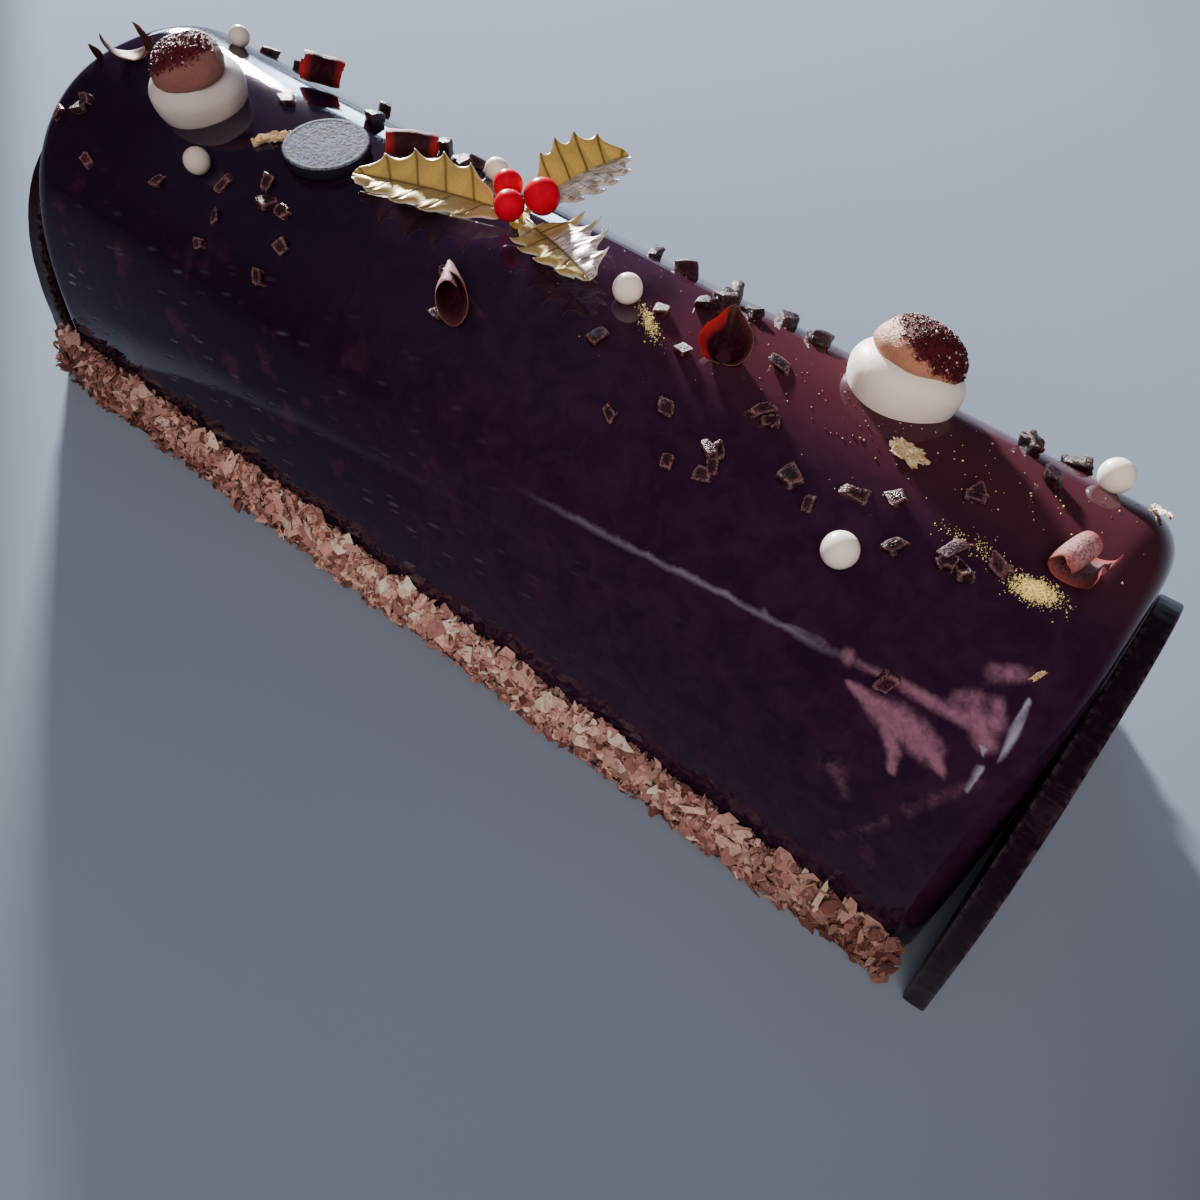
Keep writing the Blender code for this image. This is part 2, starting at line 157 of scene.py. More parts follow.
# Cocoa nibs, in millimetres: along, across, spread, count.
NIBS = (
    (-113, -20, 2, 2), (-117, -24, 0, 1), (-103, -28, 0, 1), (-81, -25, 0, 1),
    (-65, -20, 0, 1), (-56, -16, 0, 1), (-53, -19, 0, 1), (-48, -19, 0, 1),
    (-62, -28, 3, 2), (-44, -24, 0, 1), (-46, -29, 0, 1), (-105, 25, 0, 1),
    (-73, 5, 0, 1), (-94, 25, 0, 1), (-66, 25, 0, 1), (-56, 14, 0, 1),
    (-34, 17, 4, 4), (-4, -20, 0, 1), (-8, -14, 0, 1), (25, -10, 0, 1), (15, 20, 0, 1),
    (23, 19, 0, 1), (30, 2, 0, 1), (36, -20, 0, 1), (44, -15, 0, 1),
    (39, -4, 0, 1), (34, 9, 0, 1), (35, 18, 0, 1), (41, 15, 0, 1), (37, 13, 2, 3),
    (47, 20, 1, 2), (54, 18, 1, 2),
    (54, 4, 0, 1), (59, -8, 2, 3), (50, -22, 0, 1), (56, -19, 2, 4),
    (69, -15, 0, 1), (74, -17, 0, 1), (79, -12, 0, 1), (85, -9, 0, 1),
    (89, -16, 0, 1), (95, -1, 1, 2), (98, -13, 2, 4), (103, -10, 1, 2),
    (97, 18, 2, 2), (102, 11, 0, 1), (103, 26, 0, 1), (99, -30, 0, 1),
)


# ---------------------------------------------------------------- shapes


def smooth_step(low, high, value):
    """0 below low, 1 above high, and 3 t^2 - 2 t^3 between them."""
    share = np.clip((np.asarray(value, float) - low) / (high - low), 0, 1)
    return share * share * (3 - 2 * share)


def lattice_noise(points, cell, seed):
    """Smooth noise from -1 to 1: random values on a lattice, blended by smooth steps."""
    table = np.random.default_rng(seed).uniform(-1, 1, (32, 32, 32))
    place = np.asarray(points, float) / cell
    base = np.floor(place).astype(int)
    part = place - base
    part = part * part * (3 - 2 * part)
    total = np.zeros(place.shape[:-1])
    for corner in np.ndindex(2, 2, 2):
        weight = np.prod(np.where(corner, part, 1 - part), axis=-1)
        pick = (base + corner) % 32
        total += weight * table[pick[..., 0], pick[..., 1], pick[..., 2]]
    return total


def grid_quads(rows, columns, ring=False):
    """Corner numbers of a grid's quads; a ring joins the last column to the first."""
    row = np.arange(rows - 1)[:, None]
    column = np.arange(columns if ring else columns - 1)[None, :]
    beside = (column + 1) % columns
    quads = (
        row * columns + column,
        row * columns + beside,
        (row + 1) * columns + beside,
        (row + 1) * columns + column,
    )
    return np.stack(quads, axis=-1).reshape(-1, 4)


def fill_mesh(name, points, faces, layers=None):
    """Write points and faces to a mesh, join equal points and turn the faces outwards.

    faces is a list of arrays, each with as many columns as its faces have corners.
    layers are values or colours at the points, kept as attributes.
    """
    mesh = bpy.data.meshes.new(name)
    points = np.asarray(points, np.float32).reshape(-1, 3)
    mesh.vertices.add(len(points))
    mesh.vertices.foreach_set("co", points.ravel())
    corners = np.concatenate([np.ravel(group) for group in faces])
    counts = np.concatenate([np.full(len(group), np.shape(group)[1]) for group in faces])
    mesh.loops.add(len(corners))
    mesh.loops.foreach_set("vertex_index", corners.astype(np.int32))
    mesh.polygons.add(len(counts))
    starts = np.concatenate(([0], np.cumsum(counts)[:-1]))
    mesh.polygons.foreach_set("loop_start", starts.astype(np.int32))
    mesh.update(calc_edges=True)
    for layer, values in (layers or {}).items():
        values = np.asarray(values, np.float32)
        if values.ndim == 1:
            mesh.attributes.new(layer, "FLOAT", "POINT").data.foreach_set("value", values)
        else:
            full = np.ones((len(values), 4), np.float32)
            full[:, :3] = values
            paint = mesh.attributes.new(layer, "FLOAT_COLOR", "POINT")
            paint.data.foreach_set("color", full.ravel())
    shape = bmesh.new()
    shape.from_mesh(mesh)
    bmesh.ops.remove_doubles(shape, verts=shape.verts, dist=0.002 * MM)
    bmesh.ops.recalc_face_normals(shape, faces=shape.faces)
    shape.to_mesh(mesh)
    shape.free()
    return mesh


def add_piece(name, mesh, finish, slot, *nodes, crease=None):
    """Put a mesh in the scene as a piece that rides on the cake and stands for nodes."""
    piece = bpy.data.objects.new(name, mesh)
    bpy.context.scene.collection.objects.link(piece)
    mesh.materials.append(finish)
    mesh.shade_smooth()
    if crease is not None:
        mesh.set_sharp_from_angle(angle=math.radians(crease))
    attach(piece, "root")
    if nodes:
        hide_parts(*nodes)
    return piece


def arch_line(half_width, height, count):
    """Points across and up on the arch, evenly spaced, and their outward directions.

    The direction is the gradient of the superellipse: each coordinate to its power
    less one, over its half axis to its power.
    """
    turn = np.linspace(0, math.pi, 4001)
    side = np.sign(np.cos(turn)) * np.abs(np.cos(turn)) ** (2 / ACROSS_POWER)
    up = np.abs(np.sin(turn)) ** (2 / UP_POWER)
    up[[0, -1]] = 0
    walk = np.hypot(np.diff(side * half_width), np.diff(up * height))
    walk = np.concatenate(([0], np.cumsum(walk)))
    even = np.linspace(0, walk[-1], count)
    side = np.interp(even, walk, side)
    up = np.interp(even, walk, up)
    lean = np.sign(side) * np.abs(side) ** (ACROSS_POWER - 1) * ACROSS_POWER / half_width
    rise = up ** (UP_POWER - 1) * UP_POWER / height
    outward = np.stack((lean, rise), axis=-1)
    outward /= np.linalg.norm(outward, axis=-1, keepdims=True)
    return np.stack((side * half_width, up * height), axis=-1), outward


def crown_height(across, grow=0.0):
    """Height of the log's outline at a distance across from its middle."""
    share = np.minimum(np.abs(across) / (LOG_HALF_WIDTH + grow), 1.0)
    return (LOG_HEIGHT + grow) * (1.0 - share**ACROSS_POWER) ** (1.0 / UP_POWER)


def side_reach(height, grow=0.0):
    """Distance across from the log's middle to its outline at a height."""
    share = np.clip(height / (LOG_HEIGHT + grow), 0.0, 1.0)
    return (LOG_HALF_WIDTH + grow) * (1.0 - share**UP_POWER) ** (1.0 / ACROSS_POWER)


def on_crown(along, across):
    """Placement of a topping: on the log's outline, its Z square to the surface."""
    step = 0.1 * MM
    slope = (crown_height(across + step) - crown_height(across - step)) / (2 * step)
    place = Matrix.Translation((along, across, crown_height(across)))
    return place @ Matrix.Rotation(math.atan(slope), 4, "X")


def moved(points, matrix):
    """Points carried by a 4 by 4 matrix."""
    matrix = np.array(matrix)
    return np.asarray(points) @ matrix[:3, :3].T + matrix[:3, 3]


def turned(profile, count):
    """A profile of (radius, height) turned about Z: rows go round, columns along it."""
    bearing = np.linspace(0, math.tau, count + 1)[:, None]
    radius = profile[None, :, 0]
    flat = np.broadcast_to(profile[None, :, 1], (count + 1, len(profile)))
    return np.stack((radius * np.cos(bearing), radius * np.sin(bearing), flat), axis=-1)


def ball_points(rows, columns):
    """A unit ball: height is the cosine of the row's angle, radius is its sine."""
    tilt = np.linspace(0, math.pi, rows)
    return turned(np.stack((np.sin(tilt), np.cos(tilt)), axis=-1), columns)


def repeated(shape, faces, matrices):
    """Copies of a small closed shape, one for each 3 by 4 matrix, as one set."""
    shape = np.broadcast_to(shape, (len(matrices), *np.shape(shape)[-2:]))
    points = np.einsum("nij,nkj->nki", matrices[:, :, :3], shape) + matrices[:, None, :, 3]
    shift = np.arange(len(matrices))[:, None, None] * shape.shape[1]
    return points, [(group[None] + shift).reshape(-1, group.shape[1]) for group in faces]


def turns_of(noise, count, lean):
    """Random rotations: a spin about Z, then a lean of up to `lean` about a flat axis."""
    spin = noise.uniform(0, math.tau, count)
    way = noise.uniform(0, math.tau, count)
    lean = noise.uniform(0, 1, count) * lean
    x, y = np.cos(way), np.sin(way)
    c, s = np.cos(lean), np.sin(lean)
    tip = np.stack((
        np.stack((c + x * x * (1 - c), x * y * (1 - c), y * s), axis=-1),
        np.stack((x * y * (1 - c), c + y * y * (1 - c), -x * s), axis=-1),
        np.stack((-y * s, x * s, c), axis=-1),
    ), axis=-2)
    zero, one = np.zeros(count), np.ones(count)
    roll = np.stack((
        np.stack((np.cos(spin), -np.sin(spin), zero), axis=-1),
        np.stack((np.sin(spin), np.cos(spin), zero), axis=-1),
        np.stack((zero, zero, one), axis=-1),
    ), axis=-2)
    return tip @ roll


def crown_places(along, across, lift):
    """Places and turns on the crown for arrays of points: turn about X by the slope."""
    step = 0.1 * MM
    slope = (crown_height(across + step) - crown_height(across - step)) / (2 * step)
    tilt = np.arctan(slope)
    zero, one = np.zeros(len(along)), np.ones(len(along))
    turn = np.stack((
        np.stack((one, zero, zero), axis=-1),
        np.stack((zero, np.cos(tilt), -np.sin(tilt)), axis=-1),
        np.stack((zero, np.sin(tilt), np.cos(tilt)), axis=-1),
    ), axis=-2)
    place = np.stack((along, across, crown_height(across)), axis=-1)
    return place + turn[:, :, 2] * np.reshape(lift, (-1, 1)), turn


# ---------------------------------------------------------------- finishes


class Value:
    """A number from a socket that takes part in plain arithmetic through Math nodes."""

    def __init__(self, finish, socket):
        self.finish = finish
        self.socket = socket

    def maths(self, operation, *numbers):
        """One Math node with this operation."""
        inputs = dict(enumerate(numbers))
        return self.finish.value("ShaderNodeMath", 0, {"operation": operation}, inputs)

    def __add__(self, other):
        return self.maths("ADD", self, other)

    __radd__ = __add__

    def __sub__(self, other):
        return self.maths("SUBTRACT", self, other)

    def __rsub__(self, other):
        return self.maths("SUBTRACT", other, self)

    def __mul__(self, other):
        return self.maths("MULTIPLY", self, other)

    __rmul__ = __mul__

    def __truediv__(self, other):
        return self.maths("DIVIDE", self, other)

    def __rtruediv__(self, other):
        return self.maths("DIVIDE", other, self)

    def __pow__(self, other):
        return self.maths("POWER", self, other)

    def step(self, low, high):
        """0 below low, 1 above high, smooth between them."""
        settings = {"interpolation_type": "SMOOTHSTEP"}
        inputs = {"Value": self, "From Min": low, "From Max": high}
        return self.finish.value("ShaderNodeMapRange", "Result", settings, inputs)

    def clamp(self):
        """Held between 0 and 1."""
        return self.maths("MINIMUM", self.maths("MAXIMUM", self, 0.0), 1.0)


class Finish:
    """One material's nodes round its Principled shader."""

    def __init__(self, name, roughness=0.5, **fixed):
        self.material = bpy.data.materials.new(name)
        self.material.use_nodes = True
        self.tree = self.material.node_tree
        self.shader = self.tree.nodes["Principled BSDF"]
        self.shader.inputs["Roughness"].default_value = roughness
        for socket, number in fixed.items():
            self.shader.inputs[socket.replace("_", " ")].default_value = number

    def join(self, socket, value):
        """Set a socket to a number or colour, or link it."""
        if isinstance(value, Value):
            value = value.socket
        if isinstance(value, bpy.types.NodeSocket):
            self.tree.links.new(value, socket)
        elif isinstance(value, tuple) and socket.type == "RGBA":
            socket.default_value = (*value[:3], 1.0)
        else:
            socket.default_value = value

    def node(self, kind, settings=None, inputs=None):
        """Any node: its settings first, a ramp's stops among them, then its inputs."""
        node = self.tree.nodes.new(kind)
        for setting, value in (settings or {}).items():
            if setting == "stops":
                ramp = node.color_ramp
                while len(ramp.elements) < len(value):
                    ramp.elements.new(1.0)
                for element, (position, colour) in zip(ramp.elements, value):
                    element.position = position
                    element.color = (*colour, 1.0)
            else:
                setattr(node, setting, value)
        for name, value in (inputs or {}).items():
            self.join(node.inputs[name], value)
        return node

    def value(self, kind, output, settings=None, inputs=None):
        """One output of a new node, as a number."""
        return Value(self, self.node(kind, settings, inputs).outputs[output])

    def place(self):
        """Object coordinates."""
        return self.node("ShaderNodeTexCoord").outputs["Object"]

    def axes(self):
        """Object coordinates as three numbers."""
        split = self.node("ShaderNodeSeparateXYZ", None, {0: self.place()})
        return [Value(self, split.outputs[axis]) for axis in "XYZ"]

    def layer(self, name):
        """A number kept at the mesh's points."""
        return self.value("ShaderNodeAttribute", "Fac", {"attribute_name": name})

    def paint(self, name):
        """A colour kept at the mesh's points."""
        return self.node("ShaderNodeAttribute", {"attribute_name": name}).outputs["Color"]

    def stretched(self, sizes, turn=(0.0, 0.0, 0.0)):
        """Object coordinates turned, then counted in sizes along each axis."""
        spin = self.node("ShaderNodeMapping", None, {"Vector": self.place(), "Rotation": turn})
        scale = tuple(1 / size for size in sizes)
        inputs = {"Vector": spin.outputs[0], "Scale": scale}
        return self.node("ShaderNodeMapping", None, inputs).outputs[0]

    def noise(self, size, detail=2.0, roughness=0.5, vector=None, warp=0.0):
        """Noise about 0.5 with features of this size, or one unit of a given vector."""
        inputs = {"Detail": detail, "Roughness": roughness, "Distortion": warp}
        inputs["Vector"] = vector or self.place()
        inputs["Scale"] = 1.0 if vector else 1 / size
        return self.value("ShaderNodeTexNoise", 0, None, inputs)

    def cells(self, size, output="Distance", vector=None, **settings):
        """Voronoi cells of this size."""
        inputs = {"Vector": vector or self.place(), "Scale": 1.0 if vector else 1 / size}
        return self.value("ShaderNodeTexVoronoi", output, settings, inputs)

    def mix(self, share, first, second, blend="MIX"):
        """A colour between two, or one blended over the other."""
        settings = {"data_type": "RGBA", "blend_type": blend}
        node = self.node("ShaderNodeMix", settings, {0: share, 6: first, 7: second})
        return node.outputs[2]

    def set(self, **links):
        """Link or set the shader's own sockets."""
        for socket, value in links.items():
            self.join(self.shader.inputs[socket.replace("_", " ")], value)

    def bump(self, height, depth, below=None):
        """Relief of this depth in metres for a height from 0 to 1, over an earlier bump."""
        inputs = {"Height": height, "Distance": depth, "Strength": 1.0}
        if below is not None:
            inputs["Normal"] = below
        return self.node("ShaderNodeBump", None, inputs).outputs[0]

    def thin(self, share, colour):
        """Mix light that comes through the piece into the shader."""
        through = self.node("ShaderNodeBsdfTranslucent", None, {"Color": colour})
        blend = self.node("ShaderNodeMixShader", None, {
            0: share,
            1: self.shader.outputs[0],
            2: through.outputs[0],
        })
        self.join(self.tree.nodes["Material Output"].inputs["Surface"], blend.outputs[0])


def glaze_finish(settings):
    """Mirror glaze: near-black burgundy with dimples and mauve smears, with painted light: a redder lit crown, painted
    shade at the left end, a painted highlight streak, painted highlights on the rounded end, a painted sheen in the
    smears and painted glints in the dimples.
    """
    finish = Finish("mirror_glaze", 0.05, IOR=1.24)
    finish.set(Specular_Tint=(0.72, 0.66, 1.0))
    along, across, up = finish.axes()
    cloud = finish.noise(5 * MM, 4.0, 0.6, warp=0.6)
    fine = finish.noise(0.8 * MM, 3.0, 0.65)
    wisp = finish.noise(2.2 * MM, 3.0, 0.6, warp=1.0)
    haze = finish.layer("haze") + 0.7 * (cloud - 0.5) + 0.35 * (wisp - 0.5) + 0.15 * (fine - 0.5)
    haze = haze.step(-0.10, 0.90) * (0.72 + 0.28 * wisp.step(0.35, 0.62)) * (0.75 + 0.5 * fine)
    gleam = (finish.layer("gleam") + 0.4 * (wisp - 0.5) + 0.2 * (fine - 0.5)).step(-0.05, 0.8)
    near = across.step(-0.018, -0.024)
    # a thin pale line along the near side: a painted highlight streak
    off = (up - 0.0555 - (along - 0.022) * 0.085 - 0.002 * (cloud - 0.5)) / 0.0008
    line = 1 - off.maths("ABSOLUTE", off)
    line = line.clamp() * along.step(0.022, 0.05) * along.step(0.096, 0.084) * near
    base = finish.mix(cloud.step(0.3, 0.7), settings.colour_dark[:], settings.colour_light[:])
    # painted light: the far side of the crown, from the holly to the right end, is redder where the low key light falls
    crown = up.step(0.055, 0.068) * across.step(-0.016, 0.004) * along.step(-0.004, 0.055)
    base = finish.mix(crown * 0.8, base, settings.colour_painted_lit_crown[:])
    # painted shade: the glaze darker and bluer towards the left end
    base = finish.mix(along.step(0.040, -0.055) * 0.8, base, settings.colour_painted_shade_end[:])
    # mauve smears: rougher glaze with a painted sheen in their colour
    base = finish.mix(haze, base, settings.colour_painted_smear_sheen[:])
    # painted highlight streak
    base = finish.mix(line * 0.55 * cloud, base, (0.45, 0.42, 0.55))
    # painted highlights on the rounded right end
    base = finish.mix(gleam * 0.8, base, (0.40, 0.40, 0.52))
    # dimples: long shallow hollows on the near side, towards the left end, with a painted pale glint in their colour
    where = along.step(0.085, -0.01) * across.step(-0.024, -0.035) * up.step(0.012, 0.02)
    long_way = finish.stretched((8.5 * MM, 5 * MM, 2.0 * MM), (0, math.radians(14), 0))
    dimple_with_painted_glint = finish.cells(1, "Distance", long_way, feature="F1")
    dimple_with_painted_glint = dimple_with_painted_glint.step(0.30, 0.02) * where * finish.noise(9 * MM, 1.0).step(0.42, 0.60)
    plum = finish.noise(8 * MM, 3.0).step(0.58, 0.70) * where
    base = finish.mix(plum * 0.5, base, (0.060, 0.016, 0.036))
    base = finish.mix(dimple_with_painted_glint * fine * 0.5, base, (0.15, 0.14, 0.25))
    finish.set(Base_Color=base)
    normal = finish.bump(1 - dimple_with_painted_glint, settings.dimple_depth)
    normal = finish.bump(finish.noise(7 * MM, 1.0), 0.05 * MM, normal)
    dusty = finish.noise(0.5 * MM, 2.0) * along.step(0.0, -0.05) * across.step(0.0, 0.01)
    normal = finish.bump(dusty, 0.03 * MM, normal)
    finish.set(Normal=normal, Roughness=0.05 + haze * 0.35)
    wet = 1.4 * up.step(0.060, 0.073) * along.step(-0.095, -0.075) * along.step(0.050, 0.020)
    finish.set(Coat_Weight=wet.clamp(), Coat_Roughness=0.04)
    return finish.material


def plaque_finish(settings):
    """Dark plum chocolate, finely scratched, paler along its worn edges."""
    finish = Finish("plaque_chocolate", 0.38, Specular_IOR_Level=0.3)
    along_scratch = finish.stretched((3 * MM, 14 * MM, 0.5 * MM), (math.radians(8), 0, 0))
    scratch = finish.noise(1, 3.0, 0.6, along_scratch)
    blotch = finish.noise(7 * MM, 4.0, 0.6)
    edge = finish.layer("edge")
    dusty = (scratch.step(0.52, 0.75) * 0.3 + blotch.step(0.5, 0.8) * 0.35).clamp()
    base = finish.mix(dusty, settings.colour[:], settings.colour_bloom[:])
    worn = (edge * finish.noise(1.2 * MM, 3.0).step(0.42, 0.6)).clamp()
    base = finish.mix(worn * 0.3, base, (0.20, 0.14, 0.15))
    normal = finish.bump(scratch, 0.05 * MM)
    normal = finish.bump(blotch, 0.10 * MM, normal)
    finish.set(Base_Color=base, Roughness=0.30 + 0.3 * dusty, Normal=normal)
    return finish.material


def flake_finish(settings):
    """Crisp wafer: each flake's own colour, with toasted edges and fine blisters."""
    finish = Finish("wafer_flake", 0.72)
    blister = finish.noise(0.7 * MM, 3.0, 0.6)
    toast = finish.noise(2.0 * MM, 2.0)
    base = finish.mix(toast.step(0.45, 0.7) * 0.35, finish.paint("flake"), settings.colour_toast[:])
    base = finish.mix(blister.step(0.35, 0.7), finish.mix(0.22, base, (0.05, 0.02, 0.012)), base)
    normal = finish.bump(blister, 0.18 * MM)
    finish.set(Base_Color=base, Normal=normal)
    return finish.material


def core_finish(settings):
    """The crumb between the flakes, mostly near black: painted shade in the gaps between them."""
    finish = Finish("wafer_crumb", 0.85)
    crumb = finish.noise(1.1 * MM, 4.0, 0.65)
    # near black in part: painted shade in the gaps between the flakes
    base = finish.mix(crumb.step(0.35, 0.7), (0.022, 0.008, 0.006), settings.colour_crumb[:])
    finish.set(Base_Color=base, Normal=finish.bump(crumb, 0.6 * MM))
    return finish.material


def meringue_finish():
    """Smooth cream-white meringue with a faint sheen and tiny pores."""
    finish = Finish("smooth_meringue", 0.38)
    cloud = finish.noise(4 * MM, 2.0)
    fine = finish.noise(0.5 * MM, 2.0)
    base = finish.mix(cloud, (0.97, 0.91, 0.82), (0.94, 0.86, 0.76))
    along, _, _ = finish.axes()
    # painted shade: greyer towards the left end of the cake
    base = finish.mix(along.step(-0.02, -0.07), base, (0.62, 0.57, 0.54))
    normal = finish.bump(finish.noise(2.5 * MM, 2.0), 0.10 * MM)
    normal = finish.bump(fine, 0.015 * MM, normal)
    finish.set(Base_Color=base, Roughness=0.32 + 0.25 * fine, Normal=normal)
    finish.set(Subsurface_Weight=0.25, Subsurface_Scale=1.5 * MM)
    return finish.material


def cap_finish():
    """Tan baked cap, darkened by cocoa on its crown, given by the layer `cocoa`."""
    finish = Finish("cocoa_cap", 0.5, Specular_IOR_Level=0.25)
    cocoa = finish.layer("cocoa")
    fine = finish.noise(0.45 * MM, 3.0, 0.65)
    broad = finish.noise(2.5 * MM, 3.0, 0.6)
    dust = (cocoa + 1.1 * (fine - 0.5) + 0.9 * (broad - 0.5)).step(0.35, 0.65)
    tan = finish.mix(broad, (0.56, 0.27, 0.165), (0.40, 0.165, 0.10))
    # the layer `plum` darkens the left cap to plum: painted shade
    tan = finish.mix(finish.layer("plum"), tan, (0.17, 0.072, 0.072))
    base = finish.mix(dust, tan, (0.085, 0.012, 0.018))
    normal = finish.bump(fine, 0.20 * MM)
    normal = finish.bump(broad, 0.25 * MM, normal)
    finish.set(Base_Color=base, Roughness=0.42 + 0.3 * dust, Normal=normal)
    return finish.material


def grain_finish():
    """Cocoa and sugar grains, each with its own colour."""
    finish = Finish("cocoa_grain", 0.35)
    fine = finish.noise(0.3 * MM, 2.0)
    base = finish.mix(fine.step(0.3, 0.8) * 0.4, finish.paint("tint"), (0.03, 0.008, 0.01))
    finish.set(Base_Color=base, Normal=finish.bump(fine, 0.05 * MM))
    return finish.material


def pearl_finish():
    """Cream sugar pearl with a satin coat."""
    finish = Finish("cream_pearl", 0.30)
    cloud = finish.noise(1.6 * MM, 2.0)
    base = finish.mix(cloud, (1.0, 0.98, 0.84), (1.0, 0.95, 0.78))
    along, _, _ = finish.axes()
    # painted shade: greyer towards the left end of the cake
    base = finish.mix(along.step(0.0, -0.07), base, (0.66, 0.60, 0.52))
    fine = finish.noise(0.4 * MM, 2.0)
    finish.set(Base_Color=base, Normal=finish.bump(fine, 0.02 * MM))
    finish.set(Subsurface_Weight=0.2, Subsurface_Scale=1.0 * MM)
    return finish.material


def disc_finish():
    """Grained blue-black chocolate, bare on top, with a paler rim that is a painted highlight."""
    finish = Finish("grained_chocolate", 0.6, Specular_IOR_Level=0.02)
    grain = finish.noise(0.75 * MM, 1.5, 0.6, warp=0.8)
    blotch = finish.noise(3 * MM, 3.0)
    face = finish.layer("face")
    base = finish.mix(grain.step(0.43, 0.57), (0.002, 0.003, 0.008), (0.115, 0.160, 0.270))
    base = finish.mix(face, (0.016, 0.015, 0.024), base)
    base = finish.mix(blotch * 0.25, base, (0.012, 0.014, 0.026))
    # paler rim: a painted highlight
    rim = finish.layer("edge") * grain.step(0.3, 0.6)
    base = finish.mix(rim * 0.7, base, (0.20, 0.22, 0.27))
    normal = finish.bump(grain * face, 0.16 * MM)
    finish.set(Base_Color=base, Roughness=0.50 + 0.2 * grain, Normal=normal)
    return finish.material


def leaf_finish(settings):
    """Gold foil leaf that lets light through, with olive veins and a pale spiny rim.

    Where the layer `silver` is high, the foil is painted pale and brushed as a painted highlight, and is more opaque.
    """
    finish = Finish("gold_leaf_foil", 0.30, Metallic=0.30)
    rim = finish.layer("rim")
    vein = finish.layer("vein")
    cloud = finish.noise(3 * MM, 3.0)
    fine = finish.noise(0.45 * MM, 3.0, 0.65)
    brushed = finish.noise(1, 2.0, 0.5, finish.stretched((0.35 * MM, 2.5 * MM, 1.5 * MM), (0, 0, 0.5)))
    silver = (finish.layer("silver") * (0.55 + 0.9 * brushed)).clamp()
    gold = finish.mix(cloud, settings.colour_leaf[:], settings.colour_leaf_deep[:])
    gold = finish.mix(fine.step(0.4, 0.7) * 0.4, gold, settings.colour_leaf_deep[:])
    gold = finish.mix(vein * 0.75, gold, (0.13, 0.080, 0.018))
    pale = finish.mix(brushed.step(0.35, 0.6), (0.30, 0.27, 0.24), (0.92, 0.91, 0.86))
    gold = finish.mix(silver, gold, pale)
    gold = finish.mix(rim, gold, settings.colour_rim[:])
    normal = finish.bump(1 - vein, 0.20 * MM)
    normal = finish.bump(fine, 0.08 * MM, normal)
    finish.set(Base_Color=gold, Roughness=0.24 + 0.25 * fine, Normal=normal)
    glow = finish.mix((vein * 0.8 + 0.35 * fine.step(0.45, 0.7)).clamp(), (0.50, 0.385, 0.045), (0.10, 0.06, 0.01))
    finish.thin(0.50 * (1 - rim * 0.6) * (1 - silver * 0.8), glow)
    return finish.material


def berry_finish(settings):
    """Glossy red berry, a little deeper in places."""
    finish = Finish("red_berry", 0.25, IOR=1.18)
    cloud = finish.noise(1.8 * MM, 2.0)
    base = finish.mix(cloud, settings.colour_berry[:], (0.50, 0.0, 0.022))
    finish.set(Base_Color=base, Normal=finish.bump(cloud, 0.05 * MM))
    finish.set(Subsurface_Weight=0.3, Subsurface_Scale=1.2 * MM, Subsurface_Radius=(1.0, 0.05, 0.08))
    return finish.material


def curl_finish(settings):
    """Shaved chocolate: grained and bloomed, with thin edges that let red light through, and a red glow painted into
    the colour where the layer `glow` passes 1.
    """
    finish = Finish("shaved_chocolate", 0.40, Specular_IOR_Level=0.06)
    edge = finish.layer("edge")
    bloom = finish.layer("bloom")
    glow = finish.layer("glow")
    fine = finish.noise(0.35 * MM, 3.0, 0.65)
    streak = finish.noise(1, 3.0, 0.6, finish.stretched((0.5 * MM, 2.5 * MM, 1.2 * MM)))
    worn = streak.step(0.45, 0.8) * (0.06 + 0.3 * bloom)
    dark = finish.mix(worn, settings.colour_dark[:], settings.colour_bloom[:])
    base = finish.mix((bloom * (0.25 + fine.step(0.35, 0.62))).clamp(), dark, settings.colour_bloom[:])
    base = finish.mix((edge * (0.15 + 0.7 * bloom)).clamp(), base, settings.colour_edge[:])
    # painted glow: where the layer `glow` passes 1 its red is painted into the colour
    base = finish.mix((glow - 1).clamp(), base, (0.36, 0.018, 0.022))
    normal = finish.bump(fine, 0.14 * MM)
    finish.set(Base_Color=base, Roughness=0.30 + 0.3 * fine, Normal=normal)
    finish.thin((glow * (0.010 + edge * edge * 0.13)).clamp(), settings.colour_glow[:])
    return finish.material


def nib_finish(settings):
    """Cocoa nibs: dark glossy faces with pale bloomed and speckled edges."""
    finish = Finish("cocoa_nib", 0.35, Specular_IOR_Level=0.3)
    edge = finish.layer("edge")
    fine = finish.noise(0.45 * MM, 3.0, 0.7)
    speck = finish.noise(0.22 * MM, 2.0, 0.7)
    worn = (edge * fine.step(0.38, 0.58)).clamp()
    base = finish.mix(fine.step(0.35, 0.75), finish.paint("tint"), (0.010, 0.004, 0.007))
    base = finish.mix(speck.step(0.60, 0.70) * 0.30, base, settings.colour_bloom[:])
    base = finish.mix(worn * 0.65, base, settings.colour_bloom[:])
    normal = finish.bump(fine, 0.30 * MM)
    finish.set(Base_Color=base, Roughness=0.24 + 0.40 * worn, Normal=normal)
    return finish.material


def gold_finish():
    """Crumpled gold leaf."""
    finish = Finish("beaten_gold", 0.28, Metallic=0.15)
    crease = finish.noise(0.9 * MM, 4.0, 0.65, warp=1.0)
    base = finish.mix(crease.step(0.35, 0.68), (1.0, 0.86, 0.55), (0.62, 0.36, 0.14))
    finish.set(Base_Color=base, Roughness=0.2 + 0.25 * crease, Normal=finish.bump(crease, 0.6 * MM))
    return finish.material


